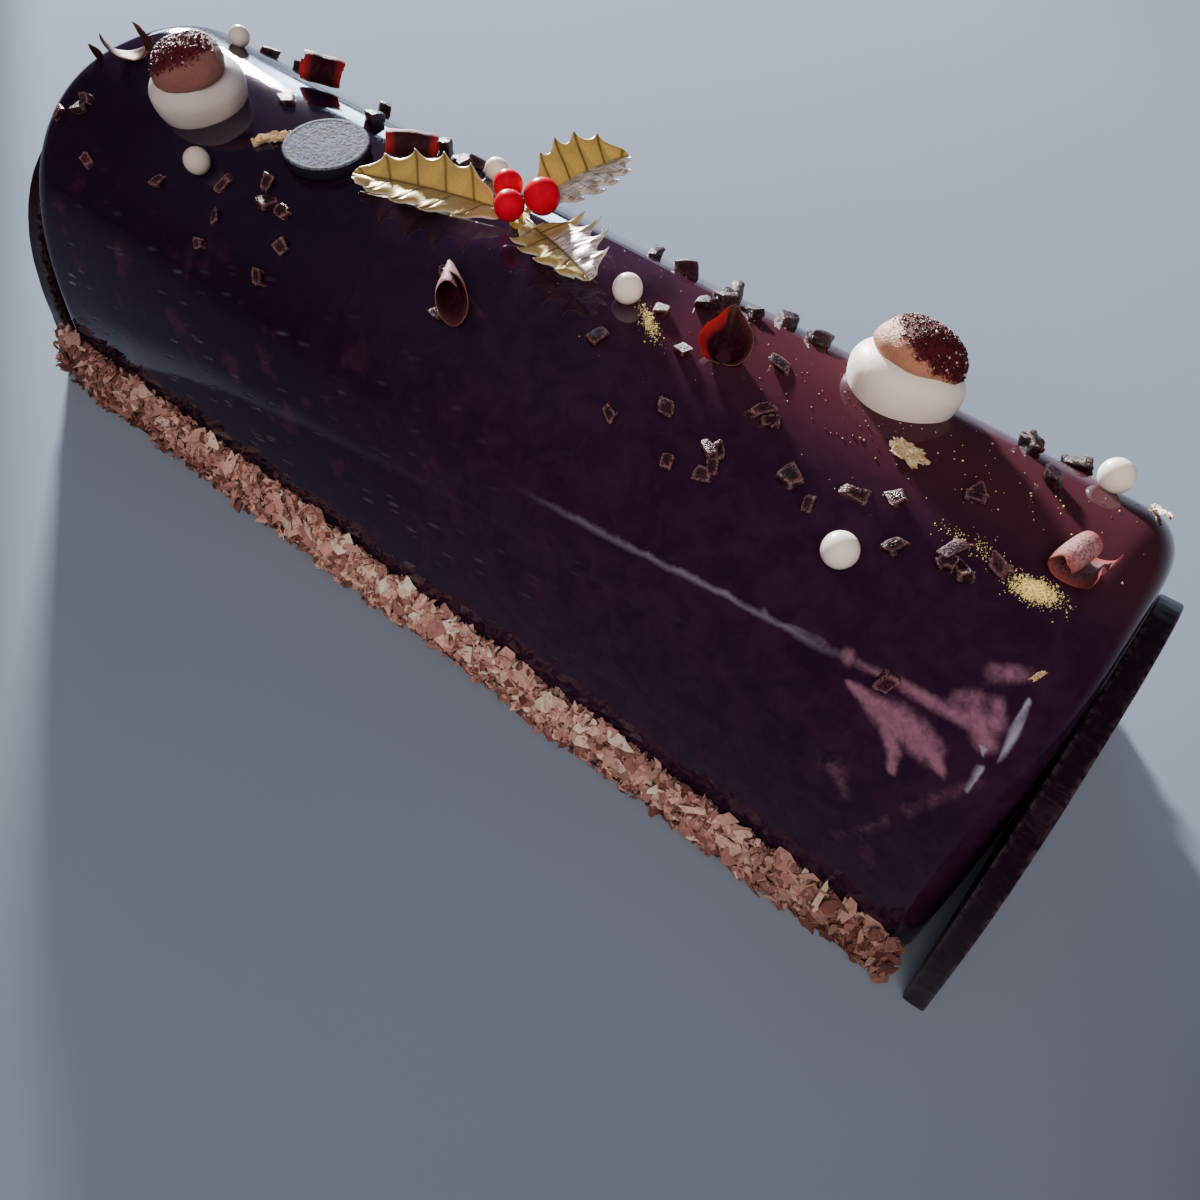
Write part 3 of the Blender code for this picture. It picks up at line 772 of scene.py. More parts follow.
def dust_finish():
    """Gold dust: pale bright grains that let light through and glow a little: a painted sparkle."""
    finish = Finish("gold_dust", 0.35, Emission_Strength=0.75)
    fine = finish.noise(0.2 * MM, 1.0)
    # emission: the grains glow a little, a painted sparkle
    painted_sparkle = finish.noise(0.35 * MM, 1.0).step(0.42, 0.58)
    finish.set(Emission_Color=finish.mix(painted_sparkle, (0.16, 0.11, 0.03), (1.0, 0.92, 0.60)))
    base = finish.mix(fine.step(0.3, 0.7), (1.0, 0.95, 0.62), (1.0, 0.86, 0.46))
    finish.set(Base_Color=base)
    finish.thin(0.75, (1.0, 0.93, 0.52))
    return finish.material


def floor_finish(settings):
    """A pale matt floor, painted darker far from the cake, to the front left and to the right: painted shade."""
    finish = Finish("plain_floor", 0.9, Specular_IOR_Level=0.0)
    cloud = finish.noise(90 * MM, 2.0)
    deep = tuple(0.96 * part for part in settings.colour_floor)
    along, across, _ = finish.axes()
    away = (along + 0.12) ** 2 + (across - 0.08) ** 2
    away = away.maths("SQRT", away)
    near = finish.mix(cloud, settings.colour_floor[:], deep)
    # painted shade: a quarter of the floor colour, laid far from the cake, to the front left and to the right
    far = tuple(0.25 * part for part in settings.colour_floor)
    front_left_painted_shade = -0.56 * (along + 0.078) - 0.83 * (across + 0.086)
    near = finish.mix(front_left_painted_shade.step(-0.006, 0.022) * 0.85, near, far)
    near = finish.mix(along.step(0.13, 0.24) * across.step(-0.14, -0.02) * 0.5, near, far)
    finish.set(Base_Color=finish.mix(away.step(0.24, 0.60), near, far))
    return finish.material


# ---------------------------------------------------------------- pieces


# Smears on the glaze, rougher and with a painted sheen in their colour, and painted highlights on its rounded end, in
# millimetres: along, across, up and radius at one end, the same at the other, and the strength.
SMEARS_WITH_PAINTED_SHEEN = (
    (92, -30, 62, 1.7, 93, -30, 60, 1.3, 1.0),
    (94, -32, 58.5, 0.8, 103, -32.5, 57.5, 3.8, 1.2),
    (103, -32.5, 57.5, 3.8, 109, -33, 56.5, 3.6, 1.2),
    (103, -34, 55.5, 1.8, 105.6, -34.8, 53, 1.6, 1.2),
    (105.6, -34.8, 53, 1.4, 106.6, -36, 49.8, 1.1, 1.1),
    (109, -33, 57, 2.6, 113, -34, 54.5, 1.1, 1.0),
    (93, -30, 61.3, 1.0, 101, -29.6, 62.3, 1.2, 0.8),
    (101, -29.6, 62.3, 1.3, 107.5, -29.5, 62.4, 1.6, 0.9),
    (107.5, -29.5, 62.4, 1.6, 114.5, -28.9, 63, 1.8, 1.0),
    (112.5, -28.5, 64, 2.7, 116, -29.5, 61.5, 2.4, 1.0),
    (114.4, -26.4, 66.2, 1.8, 115.5, -28, 64, 1.9, 0.9),
    (111.5, -23.8, 69, 2.0, 115, -22, 70, 1.8, 0.7),
    (109.5, -28, 64.7, 2.0, 111.5, -27, 66, 1.8, 0.6),
    (112, -37, 45, 1.6, 118, -33, 56, 1.0, 0.30),
    (98, -38, 44, 2.0, 104, -38, 38, 1.2, 0.22),
    (104, -39, 28, 1.4, 110, -38, 40, 1.0, 0.28),
    (110, -38, 30, 2.2, 114, -38, 18, 1.4, 0.25),
)
# painted highlights on the rounded right end, in the same columns
PAINTED_END_HIGHLIGHTS = (
    (117.6, -24.2, 68.4, 0.6, 118.4, -28, 64.5, 1.1, 1.0),
    (118.4, -28, 64.5, 1.1, 119.4, -32, 59, 0.5, 1.0),
    (117.2, -32.4, 58.6, 0.9, 117.2, -34.6, 54, 0.6, 1.2),
    (115.8, -30.6, 61.2, 0.6, 116.6, -31, 60.4, 0.5, 1.2),
)


def capsule_share(points, rows):
    """How deep points lie in soft capsules: 1 on the middle line, 0 at the rim, less outside."""
    best = np.full(points.shape[:-1], -1.0)
    for row in np.array(rows):
        first, last = row[:3] * MM, row[4:7] * MM
        way = last - first
        share = np.clip((points - first) @ way / (way @ way), 0, 1)
        off = np.linalg.norm(points - first - share[..., None] * way, axis=-1)
        radius = (row[3] + (row[7] - row[3]) * share) * MM
        best = np.maximum(best, row[8] * (1 - off / radius))
    return best


def glazed_log(settings):
    """The arch carried along X, with rounded ends, flat end faces and a flat foot.

    Near an end the outline is drawn in by r (1 - cos a) while X goes out by r sin a.
    The end face is the drawn-in outline shrunk to the middle of the foot. The skin is
    lifted along its own direction by two smooth noises.
    """
    line, outward = arch_line(LOG_HALF_WIDTH, LOG_HEIGHT, 205)
    turn = np.linspace(0, math.pi / 2, 13)
    flat = LOG_HALF_LENGTH - LOG_END_ROUND
    shrink = np.linspace(1, 0, 12)[1:]
    reach = np.concatenate((
        np.linspace(0, flat, 117)[:-1],
        flat + LOG_END_ROUND * np.sin(turn),
        np.full(len(shrink), LOG_HALF_LENGTH),
    ))
    inset = np.concatenate((
        np.zeros(116),
        LOG_END_ROUND * (1 - np.cos(turn)),
        np.full(len(shrink), LOG_END_ROUND),
    ))
    share = np.concatenate((np.ones(116 + len(turn)), shrink))
    out = np.concatenate((np.zeros(116), np.sin(turn), np.ones(len(shrink))))
    along = np.concatenate((-reach[:0:-1], reach))
    inset, share = (np.concatenate((part[:0:-1], part)) for part in (inset, share))
    lean = np.concatenate((-out[:0:-1], out))
    section = (line[None] - outward[None] * inset[:, None, None]) * share[:, None, None]
    skin = np.empty((len(along), len(line), 3))
    skin[..., 0] = along[:, None]
    skin[..., 1:] = section
    facing = np.empty_like(skin)
    facing[..., 0] = lean[:, None]
    facing[..., 1:] = outward[None] * np.sqrt(1 - lean**2)[:, None, None]
    broad = lattice_noise(skin, (46 * MM, 30 * MM, 30 * MM), 3)
    small = lattice_noise(skin, (17 * MM, 13 * MM, 13 * MM), 4)
    free = smooth_step(0, 6 * MM, skin[..., 2]) * (np.abs(lean) < 0.999)[:, None]
    lift = settings.wave_height * (broad + 0.35 * small) * free
    skin = skin + facing * lift[..., None]
    foot = np.linspace(0, 1, 26)[1:-1][None, :, None]
    foot = skin[:, -1:, :] * (1 - foot) + skin[:, :1, :] * foot
    points = np.concatenate((skin, foot), axis=1)
    quads = grid_quads(points.shape[0], points.shape[1], ring=True)
    layers = {
        "haze": capsule_share(points, SMEARS_WITH_PAINTED_SHEEN).ravel(),
        "gleam": capsule_share(points, PAINTED_END_HIGHLIGHTS).ravel(),
    }
    mesh = fill_mesh("glazed_log", points, [quads], layers)
    add_piece("glazed_log", mesh, glaze_finish(settings), "glaze", "log", crease=50)


def end_plaque(name, side, shift, seed, finish):
    """A slab of the arch outline with a rounded, slightly uneven rim.

    Columns run from the middle of the outer face, over the rim, to the middle of the
    inner face; rows follow the outline. Both ends of the outline are closed at the foot.
    """
    line, outward = arch_line(PLAQUE_HALF_WIDTH, PLAQUE_HEIGHT, 221)
    turn = np.linspace(0, math.pi / 2, 6)
    radius = 0.55 * MM
    inner = np.array([0, 0.2, 0.4, 0.6, 0.75, 0.87, 0.95])
    share = np.concatenate((inner, np.ones(6), [1, 1, 1], np.ones(6), inner[::-1]))
    rim_in = radius * (1 - np.sin(turn))
    inset = np.concatenate((np.full(7, radius), rim_in, [0, 0, 0], rim_in[::-1], np.full(7, radius)))
    rim_out = PLAQUE_THICK - radius * (1 - np.cos(turn))
    side_way = PLAQUE_THICK * np.array([0.75, 0.5, 0.25])
    depth = np.concatenate((np.full(7, PLAQUE_THICK), rim_out, side_way, PLAQUE_THICK - rim_out[::-1], np.zeros(7)))
    points = (line[:, None] - outward[:, None] * inset[None, :, None]) * share[None, :, None]
    rim = (share == 1).astype(float)
    place = np.concatenate((np.broadcast_to(depth[None, :, None], (*points.shape[:2], 1)), points), axis=-1)
    chip = lattice_noise(place, 5 * MM, seed) + 0.5 * lattice_noise(place, 1.6 * MM, seed + 1)
    points = points + outward[:, None] * (rim * chip)[..., None] * 0.16 * MM
    points[[0, -1], :, 1] = 0
    warp = lattice_noise(place, 16 * MM, seed + 2) * 0.12 * MM * (depth > PLAQUE_THICK / 2)
    out = side * (depth[None] + warp)
    tilt = -side * PLAQUE_LEAN
    solid = np.stack((
        side * PLAQUE_FOOT + out * math.cos(tilt) + points[..., 1] * math.sin(tilt),
        shift + points[..., 0],
        -out * math.sin(tilt) + points[..., 1] * math.cos(tilt),
    ), axis=-1)
    rows, columns = solid.shape[:2]
    ends = np.stack((np.arange(columns), np.arange(columns) + (rows - 1) * columns))
    worn = np.exp(-(((np.abs(depth - PLAQUE_THICK / 2) - PLAQUE_THICK / 2) / (0.5 * MM)) ** 2)) * rim
    layers = {"edge": np.broadcast_to(worn[None], (rows, columns)).ravel()}
    mesh = fill_mesh("plaque_" + name, solid, [grid_quads(rows, columns, ring=True), ends], layers)
    add_piece("plaque_" + name, mesh, finish, "dark_chocolate", "end_plaque_" + name, crease=60)


def border_crest(along, seed):
    """Height of the border's uneven crest: a slope along the cake, a swell and noise."""
    noise = np.random.default_rng(seed)
    stations = np.linspace(-BORDER_HALF_LENGTH, BORDER_HALF_LENGTH, 74)
    swell = np.sin(stations * 61 + seed) * np.cos(stations * 23)
    rough = 0.5 * (swell + noise.uniform(-1, 1, 74))
    top = np.linspace(*BORDER_HEIGHTS, 74) + 2.2 * MM * rough
    return np.interp(along, stations, top)


def heap_point(crest, share):
    """Across and up on the heap's face, from the crest at 0 to the foot at 1.

    The distance across falls short of the foot's by the height's share cubed.
    """
    up = crest * (1 - share)
    foot = side_reach(0.0, GAP) + BORDER_DEPTH - 0.5 * MM
    fall = foot - side_reach(crest, GAP) - 1.0 * MM
    return foot - fall * (1 - share) ** 3, up


def border_core(name, side, seed, finish):
    """The crumb under the flakes, dark as painted shade: the heap's face set back, made rough by noise."""
    along = np.linspace(-BORDER_HALF_LENGTH + 0.8 * MM, BORDER_HALF_LENGTH - 0.8 * MM, 330)
    crest = border_crest(along, seed)[:, None] - 2.6 * MM
    share = np.linspace(0, 1, 15)[None]
    across, up = heap_point(crest, share)
    across = across - 1.4 * MM
    rise = np.linspace(0, 1, 6)[None]
    wall_up = crest * rise
    wall = side_reach(wall_up, -0.4 * MM)
    shape = np.stack((
        np.broadcast_to(along[:, None], (len(along), 21)),
        np.concatenate((wall, across), axis=1),
        np.concatenate((wall_up, up), axis=1),
    ), axis=-1)
    rough = lattice_noise(shape, 2.2 * MM, seed) * 0.5 * MM + lattice_noise(shape, 1.0 * MM, seed + 1) * 0.25 * MM
    shape[:, 6:-1, 1] += rough[:, 6:-1]
    shape[:, 6:-1, 2] += rough[:, 6:-1] * 0.5
    shape[..., 1] *= side
    ends = np.stack((np.arange(21), np.arange(21) + (len(along) - 1) * 21))
    mesh = fill_mesh(name, shape, [grid_quads(len(along), 21, ring=True), ends])
    return mesh


def flake_shapes(noise, count, size):
    """Thin bent chips: a ragged ring of seven corners above and one below, with hubs."""
    corners = 7
    ring = np.arange(corners)
    bearing = (ring + noise.uniform(-0.42, 0.42, (count, corners))) * math.tau / corners
    reach = noise.uniform(0.50, 1.28, (count, corners))
    long_way = np.reshape(size, (-1, 1))
    narrow = long_way * noise.uniform(0.24, 0.78, (count, 1))
    x = long_way * reach * np.cos(bearing)
    y = narrow * reach * np.sin(bearing)
    bend = noise.normal(0, 0.13, (count, 1)) / long_way
    twist = noise.normal(0, 0.12, (count, 1)) / long_way
    ripple = noise.normal(0, 0.08, (count, corners)) * long_way
    z = bend * x * x + twist * x * y + ripple
    thick = noise.uniform(0.10, 0.22, (count, 1)) * MM
    hub = np.zeros((count, 1, 3))
    hub[:, 0, 2] = noise.normal(0, 0.06, count) * long_way[:, 0]
    rim = np.stack((x, y, z), axis=-1)
    above, below = rim.copy(), rim.copy()
    above[..., 2] += thick
    below[..., 2] -= thick
    lift = np.array([0, 0, 1.0]) * thick[..., None]
    shape = np.concatenate((above, hub + lift, below, hub - lift), axis=1)
    after = (ring + 1) % corners
    middle = np.full(corners, corners)
    top = np.stack((ring, after, middle), axis=-1)
    low = np.stack((after, ring, middle), axis=-1) + corners + 1
    wall = np.stack((ring, ring + corners + 1, after + corners + 1, after), axis=-1)
    return shape, [top, low, wall]


def border_flakes(name, side, seed, settings):
    """Layered wafer flakes over the heap's face.

    Small ones lie at every angle, broad ones face outwards near the crest, and some stand up along it. Each keeps its
    own colour, painted paler in the middle of the cake, darker towards the ends and deeper in the heap: painted light
    and shade.
    """
    noise = np.random.default_rng(seed + 100)
    count = settings.flake_count
    along = noise.uniform(-1, 1, count) * (BORDER_HALF_LENGTH - 0.5 * MM)
    share = noise.beta(0.95, 1.25, count)
    big = noise.uniform(0, 1, count) < 0.045
    share = np.where(big, share * 0.6, share)
    crest = border_crest(along, seed) + 0.9 * MM
    across, up = heap_point(crest, share)
    across_after, up_after = heap_point(crest, np.minimum(share + 0.02, 1.05))
    run, drop = across_after - across, up_after - up
    step = np.hypot(run, drop)
    facing = np.stack((np.zeros(count), -drop / step, run / step), axis=-1)
    facing[share < 0.25] += [0, -0.25, 0.55]
    level = noise.uniform(0, 1, count) < 0.38
    facing[level & ~big] = [0, 0.25, 1.0]
    facing /= np.linalg.norm(facing, axis=1, keepdims=True)
    outward = np.stack((np.zeros(count), -drop / step, run / step), axis=-1)
    depth = np.where(big, noise.uniform(-0.8, 0.6, count), noise.uniform(-2.2, 0.6, count))
    clump = lattice_noise(np.stack((along, share * 8 * MM, 0 * along), axis=-1), 3.2 * MM, seed + 7)
    depth = (depth - 0.9 * share + 0.9 * clump * ~big) * MM
    place = np.stack((along, across, up), axis=-1) + outward * depth[:, None]
    size = settings.flake_size * np.exp(noise.normal(-0.30, 0.38, count))
    size = np.where(big, settings.flake_size * noise.uniform(1.3, 2.3, count), size)
    shape, faces = flake_shapes(noise, count, size)
    basis = np.stack((
        np.broadcast_to([1.0, 0, 0], (count, 3)),
        np.cross(facing, [1.0, 0, 0]),
        facing,
    ), axis=-1)
    lean = np.where(noise.uniform(0, 1, count) < 0.22, 1.25, 0.55)
    lean = np.where((share < 0.10) & ~big, 1.35, lean)
    lean = np.where(big, 0.45, lean)
    turns = basis @ turns_of(noise, count, lean)
    matrices = np.concatenate((turns, place[..., None]), axis=-1)
    points, faces = repeated(shape, faces, matrices)
    points[..., 2] = np.maximum(points[..., 2], 0.05 * MM)
    points[..., 1] = np.minimum(points[..., 1], 47.2 * MM)
    points[..., 0] = np.clip(points[..., 0], -126.3 * MM, 126.3 * MM)
    points[..., 1] = np.maximum(points[..., 1], side_reach(points[..., 2], 0.02 * MM))
    points[..., 1] *= side
    palette = np.array([
        settings.colour_brown[:],
        settings.colour_tan[:],
        settings.colour_peach[:],
        settings.colour_cream[:],
    ])
    end = along / BORDER_HALF_LENGTH
    # paler in the middle of the cake than at its ends: painted light; darker towards the foot
    pale = 1.50 + 0.1 * end - 0.85 * end**2 + noise.normal(0, 0.80, count) + 0.7 * big
    pale = np.clip(pale - 0.9 * share**2, 0, 2.999)
    low = np.floor(pale).astype(int)
    part = (pale - low)[:, None]
    colour = palette[low] * (1 - part) + palette[low + 1] * part
    # darker towards both ends: painted shade
    colour *= np.exp(noise.normal(0, 0.16, (count, 1)) - 0.60 * end[:, None] ** 2)
    # deeper flakes darker: painted shade between the flakes
    colour *= np.exp(0.30 * np.clip(depth[:, None] / MM + 0.6, -2, 0.5))
    layers = {"flake": np.repeat(np.clip(colour, 0, 0.9), shape.shape[1], axis=0)}
    return fill_mesh(name, points, faces, layers)


def dome_mesh(name, place, seed):
    """A piped dome: a flattened quarter ellipse above, tucked in below its widest ring."""
    turn = np.linspace(0, math.pi / 2, 26)
    radius, height = DOME_RADIUS, DOME_HEIGHT
    above = np.stack((radius * np.sin(turn), height * (0.36 + 0.64 * np.cos(turn))), axis=-1)
    tuck = np.linspace(0, 1, 12)[1:, None]
    low = np.concatenate((radius * (1 - 0.34 * tuck**2), height * (0.36 - 0.91 * tuck)), axis=1)
    profile = np.concatenate((above, low, [[0, -0.55 * height]]))
    shape = turned(profile, 72)
    outward = shape * [1, 1, 0.7]
    outward /= np.linalg.norm(outward, axis=-1, keepdims=True) + 1e-9
    swell = lattice_noise(shape, 7 * MM, seed) * 0.30 * MM + lattice_noise(shape, 2.4 * MM, seed + 1) * 0.05 * MM
    shape = shape + outward * swell[..., None]
    shape[-1] = shape[0]
    shape[:, 0] = shape[0, 0]
    return fill_mesh(name, moved(shape, place), [grid_quads(*shape.shape[:2])])


def cap_shape(unit, seed, grow=0.0):
    """Pebble-like cap: a ball flattened above and more below, made uneven by noise."""
    bearing = np.arctan2(unit[..., 1], unit[..., 0])
    uneven = 1.0 + 0.035 * np.sin(2 * bearing + 0.7)
    lift = CAP_HEIGHT * np.where(unit[..., 2] > 0, CAP_CROWN, 1 - CAP_CROWN)
    shape = np.stack((
        unit[..., 0] * CAP_RADIUS * uneven,
        unit[..., 1] * CAP_RADIUS / uneven * 0.97,
        unit[..., 2] * lift,
    ), axis=-1)
    rough = lattice_noise(shape, 5 * MM, seed) * 0.42 * MM + lattice_noise(shape, 1.5 * MM, seed + 1) * 0.12 * MM
    return shape + unit * (rough + grow)[..., None]


def cocoa_share(unit, way):
    """How much cocoa lies on the cap: most where it faces this way."""
    return smooth_step(-0.05, 0.75, unit @ np.array(way))


def mushroom(name, along, across, shift_x, shift_y, lean_x, lean_y, seed, finishes):
    """A meringue dome on the crown with a baked cap and cocoa grains on it."""
    place = on_crown(along, across)
    dome = dome_mesh("meringue_dome_" + name, place, seed)
    add_piece("meringue_dome_" + name, dome, finishes[0], "meringue", "mushroom_base_" + name)
    lean = Matrix.Rotation(math.radians(lean_x), 4, "X") @ Matrix.Rotation(math.radians(lean_y), 4, "Y")
    level = DOME_HEIGHT - CAP_SINK + (1 - CAP_CROWN) * CAP_HEIGHT
    place = place @ Matrix.Translation((shift_x, shift_y, level)) @ lean
    unit = ball_points(56, 96)
    way = (-0.42, 0.10, 0.90) if name == "left" else (0.42, 0.05, 0.90)
    shape = cap_shape(unit, seed + 2)
    # painted shade: the left cap is painted darker plum
    plum = 0.8 if name == "left" else 0.0
    layers = {"cocoa": cocoa_share(unit, way).ravel(), "plum": np.full(unit.shape[:2], plum).ravel()}
    mesh = fill_mesh("baked_cap_" + name, moved(shape, place), [grid_quads(*unit.shape[:2])], layers)
    add_piece("baked_cap_" + name, mesh, finishes[1], "baked_cap", "mushroom_cap_" + name)
    noise = np.random.default_rng(seed + 5)
    way_of = noise.normal(0, 1, (9000, 3))
    way_of /= np.linalg.norm(way_of, axis=1, keepdims=True)
    keep = cocoa_share(way_of, way) ** 1.6 > noise.uniform(0.05, 1, 9000)
    way_of = way_of[keep][:1500]
    spots = moved(cap_shape(way_of, seed + 2, 0.05 * MM), place)
    tints = np.array([(0.050, 0.010, 0.014), (0.11, 0.028, 0.022), (0.030, 0.010, 0.014), (0.62, 0.50, 0.52)])
    pick = noise.choice(4, len(spots), p=(0.5, 0.27, 0.17, 0.06))
    mesh = grain_mesh("cocoa_grains_" + name, noise, spots, 0.17 * MM, tints[pick])
    add_piece("cocoa_grains_" + name, mesh, finishes[2], "baked_cap")


def grain_mesh(name, noise, spots, size, colours):
    """Grains: octahedra with every corner moved at random, each with a colour."""
    base = np.array([(1, 0, 0), (0, 1, 0), (-1, 0, 0), (0, -1, 0), (0, 0, 1), (0, 0, -1)], float)
    around = np.arange(4)
    after = (around + 1) % 4
    top = np.stack((around, after, np.full(4, 4)), axis=-1)
    low = np.stack((after, around, np.full(4, 5)), axis=-1)
    count = len(spots)
    scale = size * np.exp(noise.normal(0, 0.35, (count, 1, 1)))
    shape = base[None] * scale * noise.uniform(0.6, 1.3, (count, 6, 1))
    turns = turns_of(noise, count, math.pi)
    matrices = np.concatenate((turns, spots[..., None]), axis=-1)
    points, faces = repeated(shape, [top, low], matrices)
    return fill_mesh(name, points, faces, {"tint": np.repeat(colours, 6, axis=0)})


def pearl(number, along, across, radius, finish):
    """A sugar pearl: a ball with a faint unevenness, bedded into the glaze."""
    unit = ball_points(30, 44)
    shape = unit * (radius + lattice_noise(unit, 0.9, number) * 0.05 * MM)[..., None]
    place = on_crown(along, across) @ Matrix.Translation((0, 0, radius - SEAT_DEPTH))
    mesh = fill_mesh(f"cream_pearl_{number}", moved(shape, place), [grid_quads(*unit.shape[:2])])
    add_piece(f"cream_pearl_{number}", mesh, finish, "sugar_pearl", f"pearl_{number}")


def plain_disc(finish):
    """A coin turned from its profile: flat grained top, a rounded rim and a smooth side."""
    turn = np.linspace(0, math.pi / 2, 7)
    radius, thick, curve = DISC_RADIUS, DISC_THICK, 0.45 * MM
    flat = np.linspace(0, radius - 0.75 * MM, 16)
    top = np.stack((flat, np.full(16, thick - 0.10 * MM)), axis=-1)
    lip = np.stack((radius - curve + curve * np.sin(turn), thick - curve + curve * np.cos(turn)), axis=-1)
    side = np.array([(radius + 0.05 * MM, 0.6 * thick), (radius + 0.05 * MM, 0.3 * thick), (radius - 0.1 * MM, 0.0)])
    foot = np.array([(radius - 0.5 * MM, -0.9 * MM), (0, -0.9 * MM)])
    profile = np.concatenate((top, lip, side, foot))
    shape = turned(profile, 128)
    shape[..., 2] += lattice_noise(shape, 6 * MM, 8) * 0.05 * MM
    shape[-1] = shape[0]
    shape[:, [0, -1]] = shape[:1, [0, -1]]
    order = np.arange(len(profile))
    face = (order < 16).astype(float)
    edge = ((order >= 16) & (order < 21)).astype(float)
    rows = shape.shape[0]
    layers = {
        "face": np.broadcast_to(face, (rows, len(profile))).ravel(),
        "edge": np.broadcast_to(edge, (rows, len(profile))).ravel(),
    }
    place = on_crown(*DISC_PLACE) @ Matrix.Translation((0, 0, GAP))
    mesh = fill_mesh("plain_disc", moved(shape, place), [grid_quads(*shape.shape[:2])], layers)
    add_piece("plain_disc", mesh, finish, "disc_chocolate", "chocolate_disc")


# For each leaf: heading in degrees, then for its left and right half the width, the
# fold in degrees and the depth of the hollows between its spines.
LEAF_CUTS = {
    "left": (199, (9.8 * MM, 10, 0.36), (8.0 * MM, 37, 0.20)),
    "back": (76, (9.4 * MM, 34, 0.18), (8.4 * MM, 8, 0.46)),
    "right": (-20, (9.8 * MM, 14, 0.30), (7.8 * MM, 10, 0.36)),
}


def leaf_half_width(along, start, deep):
    """Half width as a share of the widest, and how near a spine is, from 0 to 1.

    A thin stalk, then sin(pi blade^0.75)^0.55, cut by rounded hollows, a power of
    4 p (1 - p), between spines with broad feet and sharp tips.
    """
    blade = np.clip((along - start) / (1 - start), 0, 1)
    stalk = 0.07 * (1 - 0.6 * along)
    swell = np.sin(math.pi * blade**0.75).clip(0) ** 0.55
    part = (blade * LEAF_SPANS) % 1.0
    scallop = 4 * part * (1 - part)
    hollow = deep * scallop**1.15
    spike = (1 - scallop) ** 3 * (blade > 0.05) * (blade < 0.97)
    width = np.maximum(swell * (0.97 - hollow + 0.03 * spike), stalk)
    return width, spike, blade


def holly_leaf(name, heading, length, rise, left, right, seed, finish):
    """A spiny leaf: a grid drawn out to its outline, folded at the midrib.

    Rows run from stalk to tip; columns go over the upper face and back under it. The
    spines lean forward and curl up, and the blade is quilted between its veins.
    """
    rows, half = 221, 17
    along = np.linspace(0, 1, rows)[:, None]
    across = np.linspace(-1, 1, 2 * half + 1)[None]
    sides = []
    heading, *cuts = LEAF_CUTS[name]
    for (width, fold, deep), start in zip(cuts[::-1], (right[2], left[2])):
        share, spike, blade = leaf_half_width(along, start, deep)
        sides.append((share * width, spike, blade, math.radians(fold)))
    is_left = across > 0
    width, spike, blade, fold = (
        np.where(is_left, second, first) for first, second in zip(*sides)
    )
    side = np.abs(across)
    reach = side * width
    rounded = reach**2 / (reach + 0.6 * MM)
    quilt = np.sin(math.pi * ((blade * LEAF_SPANS) % 1.0)) * np.sin(math.pi * side)
    sway = lattice_noise(np.stack(np.broadcast_arrays(along * 3, across, 0 * along), axis=-1), 0.8, seed)
    curl = spike * side**4
    near = {"left": is_left, "back": ~is_left, "right": side >= 0}[name] * 0.85 + 0.15
    x = LEAF_START + length * (along + 0.022 * spike * side**2)
    y = np.sign(across) * reach * np.cos(fold)
    z = rounded * np.sin(fold) + (0.40 * quilt + 0.5 * sway * side + 1.0 * curl * near) * MM
    z = z - 0.7 * MM * side**2 * (1 - spike) * (reach > 2 * MM) * near
    z = z + 1.4 * MM * np.sin(math.pi * along) * (1 if name == "back" else 0.6)
    if name == "right":
        z = z + 1.1 * MM * (1 - np.cos(math.pi * along))
    x, y, z = np.broadcast_arrays(x, y, z)
    wall = 0.16 * MM * (1 - 0.6 * side**4) + 0.02 * MM
    wall = np.broadcast_to(wall, z.shape)
    above = np.stack((x, y, z + wall), axis=-1)
    below = np.stack((x, y, z - wall), axis=-1)
    shape = np.concatenate((above, below[:, ::-1]), axis=1)
    middle = (above + below) / 2
    shape[[0, -1]] = np.concatenate((middle, middle[:, ::-1]), axis=1)[[0, -1]]
    left_over = (1 - side) * width
    rim = np.broadcast_to(1 - smooth_step(0.12 * MM, 0.50 * MM, left_over), z.shape)
    bars = blade * LEAF_SPANS + 0.40 * (1 - side)
    off = np.abs(bars - np.round(bars)) * length / LEAF_SPANS
    vein = np.exp(-((off / (0.30 * MM)) ** 2)) * smooth_step(0, 0.1, blade) + np.exp(-((reach / (0.28 * MM)) ** 2))
    vein = np.broadcast_to(np.clip(vein, 0, 1), z.shape)
    # painted highlight: pale foil on the far halves of the back and right leaves
    silver = {
        "left": 0.10 * is_left,
        "back": 0.85 * ~is_left * smooth_step(0.1, 0.3, along),
        "right": is_left * smooth_step(0.30, 0.55, along),
    }[name]
    silver = np.broadcast_to(silver, z.shape)
    layers = {
        "silver": np.concatenate((silver, silver[:, ::-1]), axis=1).ravel(),
        "rim": np.concatenate((rim, rim[:, ::-1]), axis=1).ravel(),
        "vein": np.concatenate((vein, vein[:, ::-1]), axis=1).ravel(),
    }
    place = Matrix.Translation((*HUB_PLACE, LEAF_LEVEL))
    place = place @ Matrix.Rotation(math.radians(heading), 4, "Z") @ Matrix.Rotation(-math.radians(rise), 4, "Y")
    quads = grid_quads(rows, shape.shape[1], ring=True)
    mesh = fill_mesh("gold_leaf_" + name, moved(shape, place), [quads], layers)
    add_piece("gold_leaf_" + name, mesh, finish, "holly_gold", "holly_leaf_" + name)


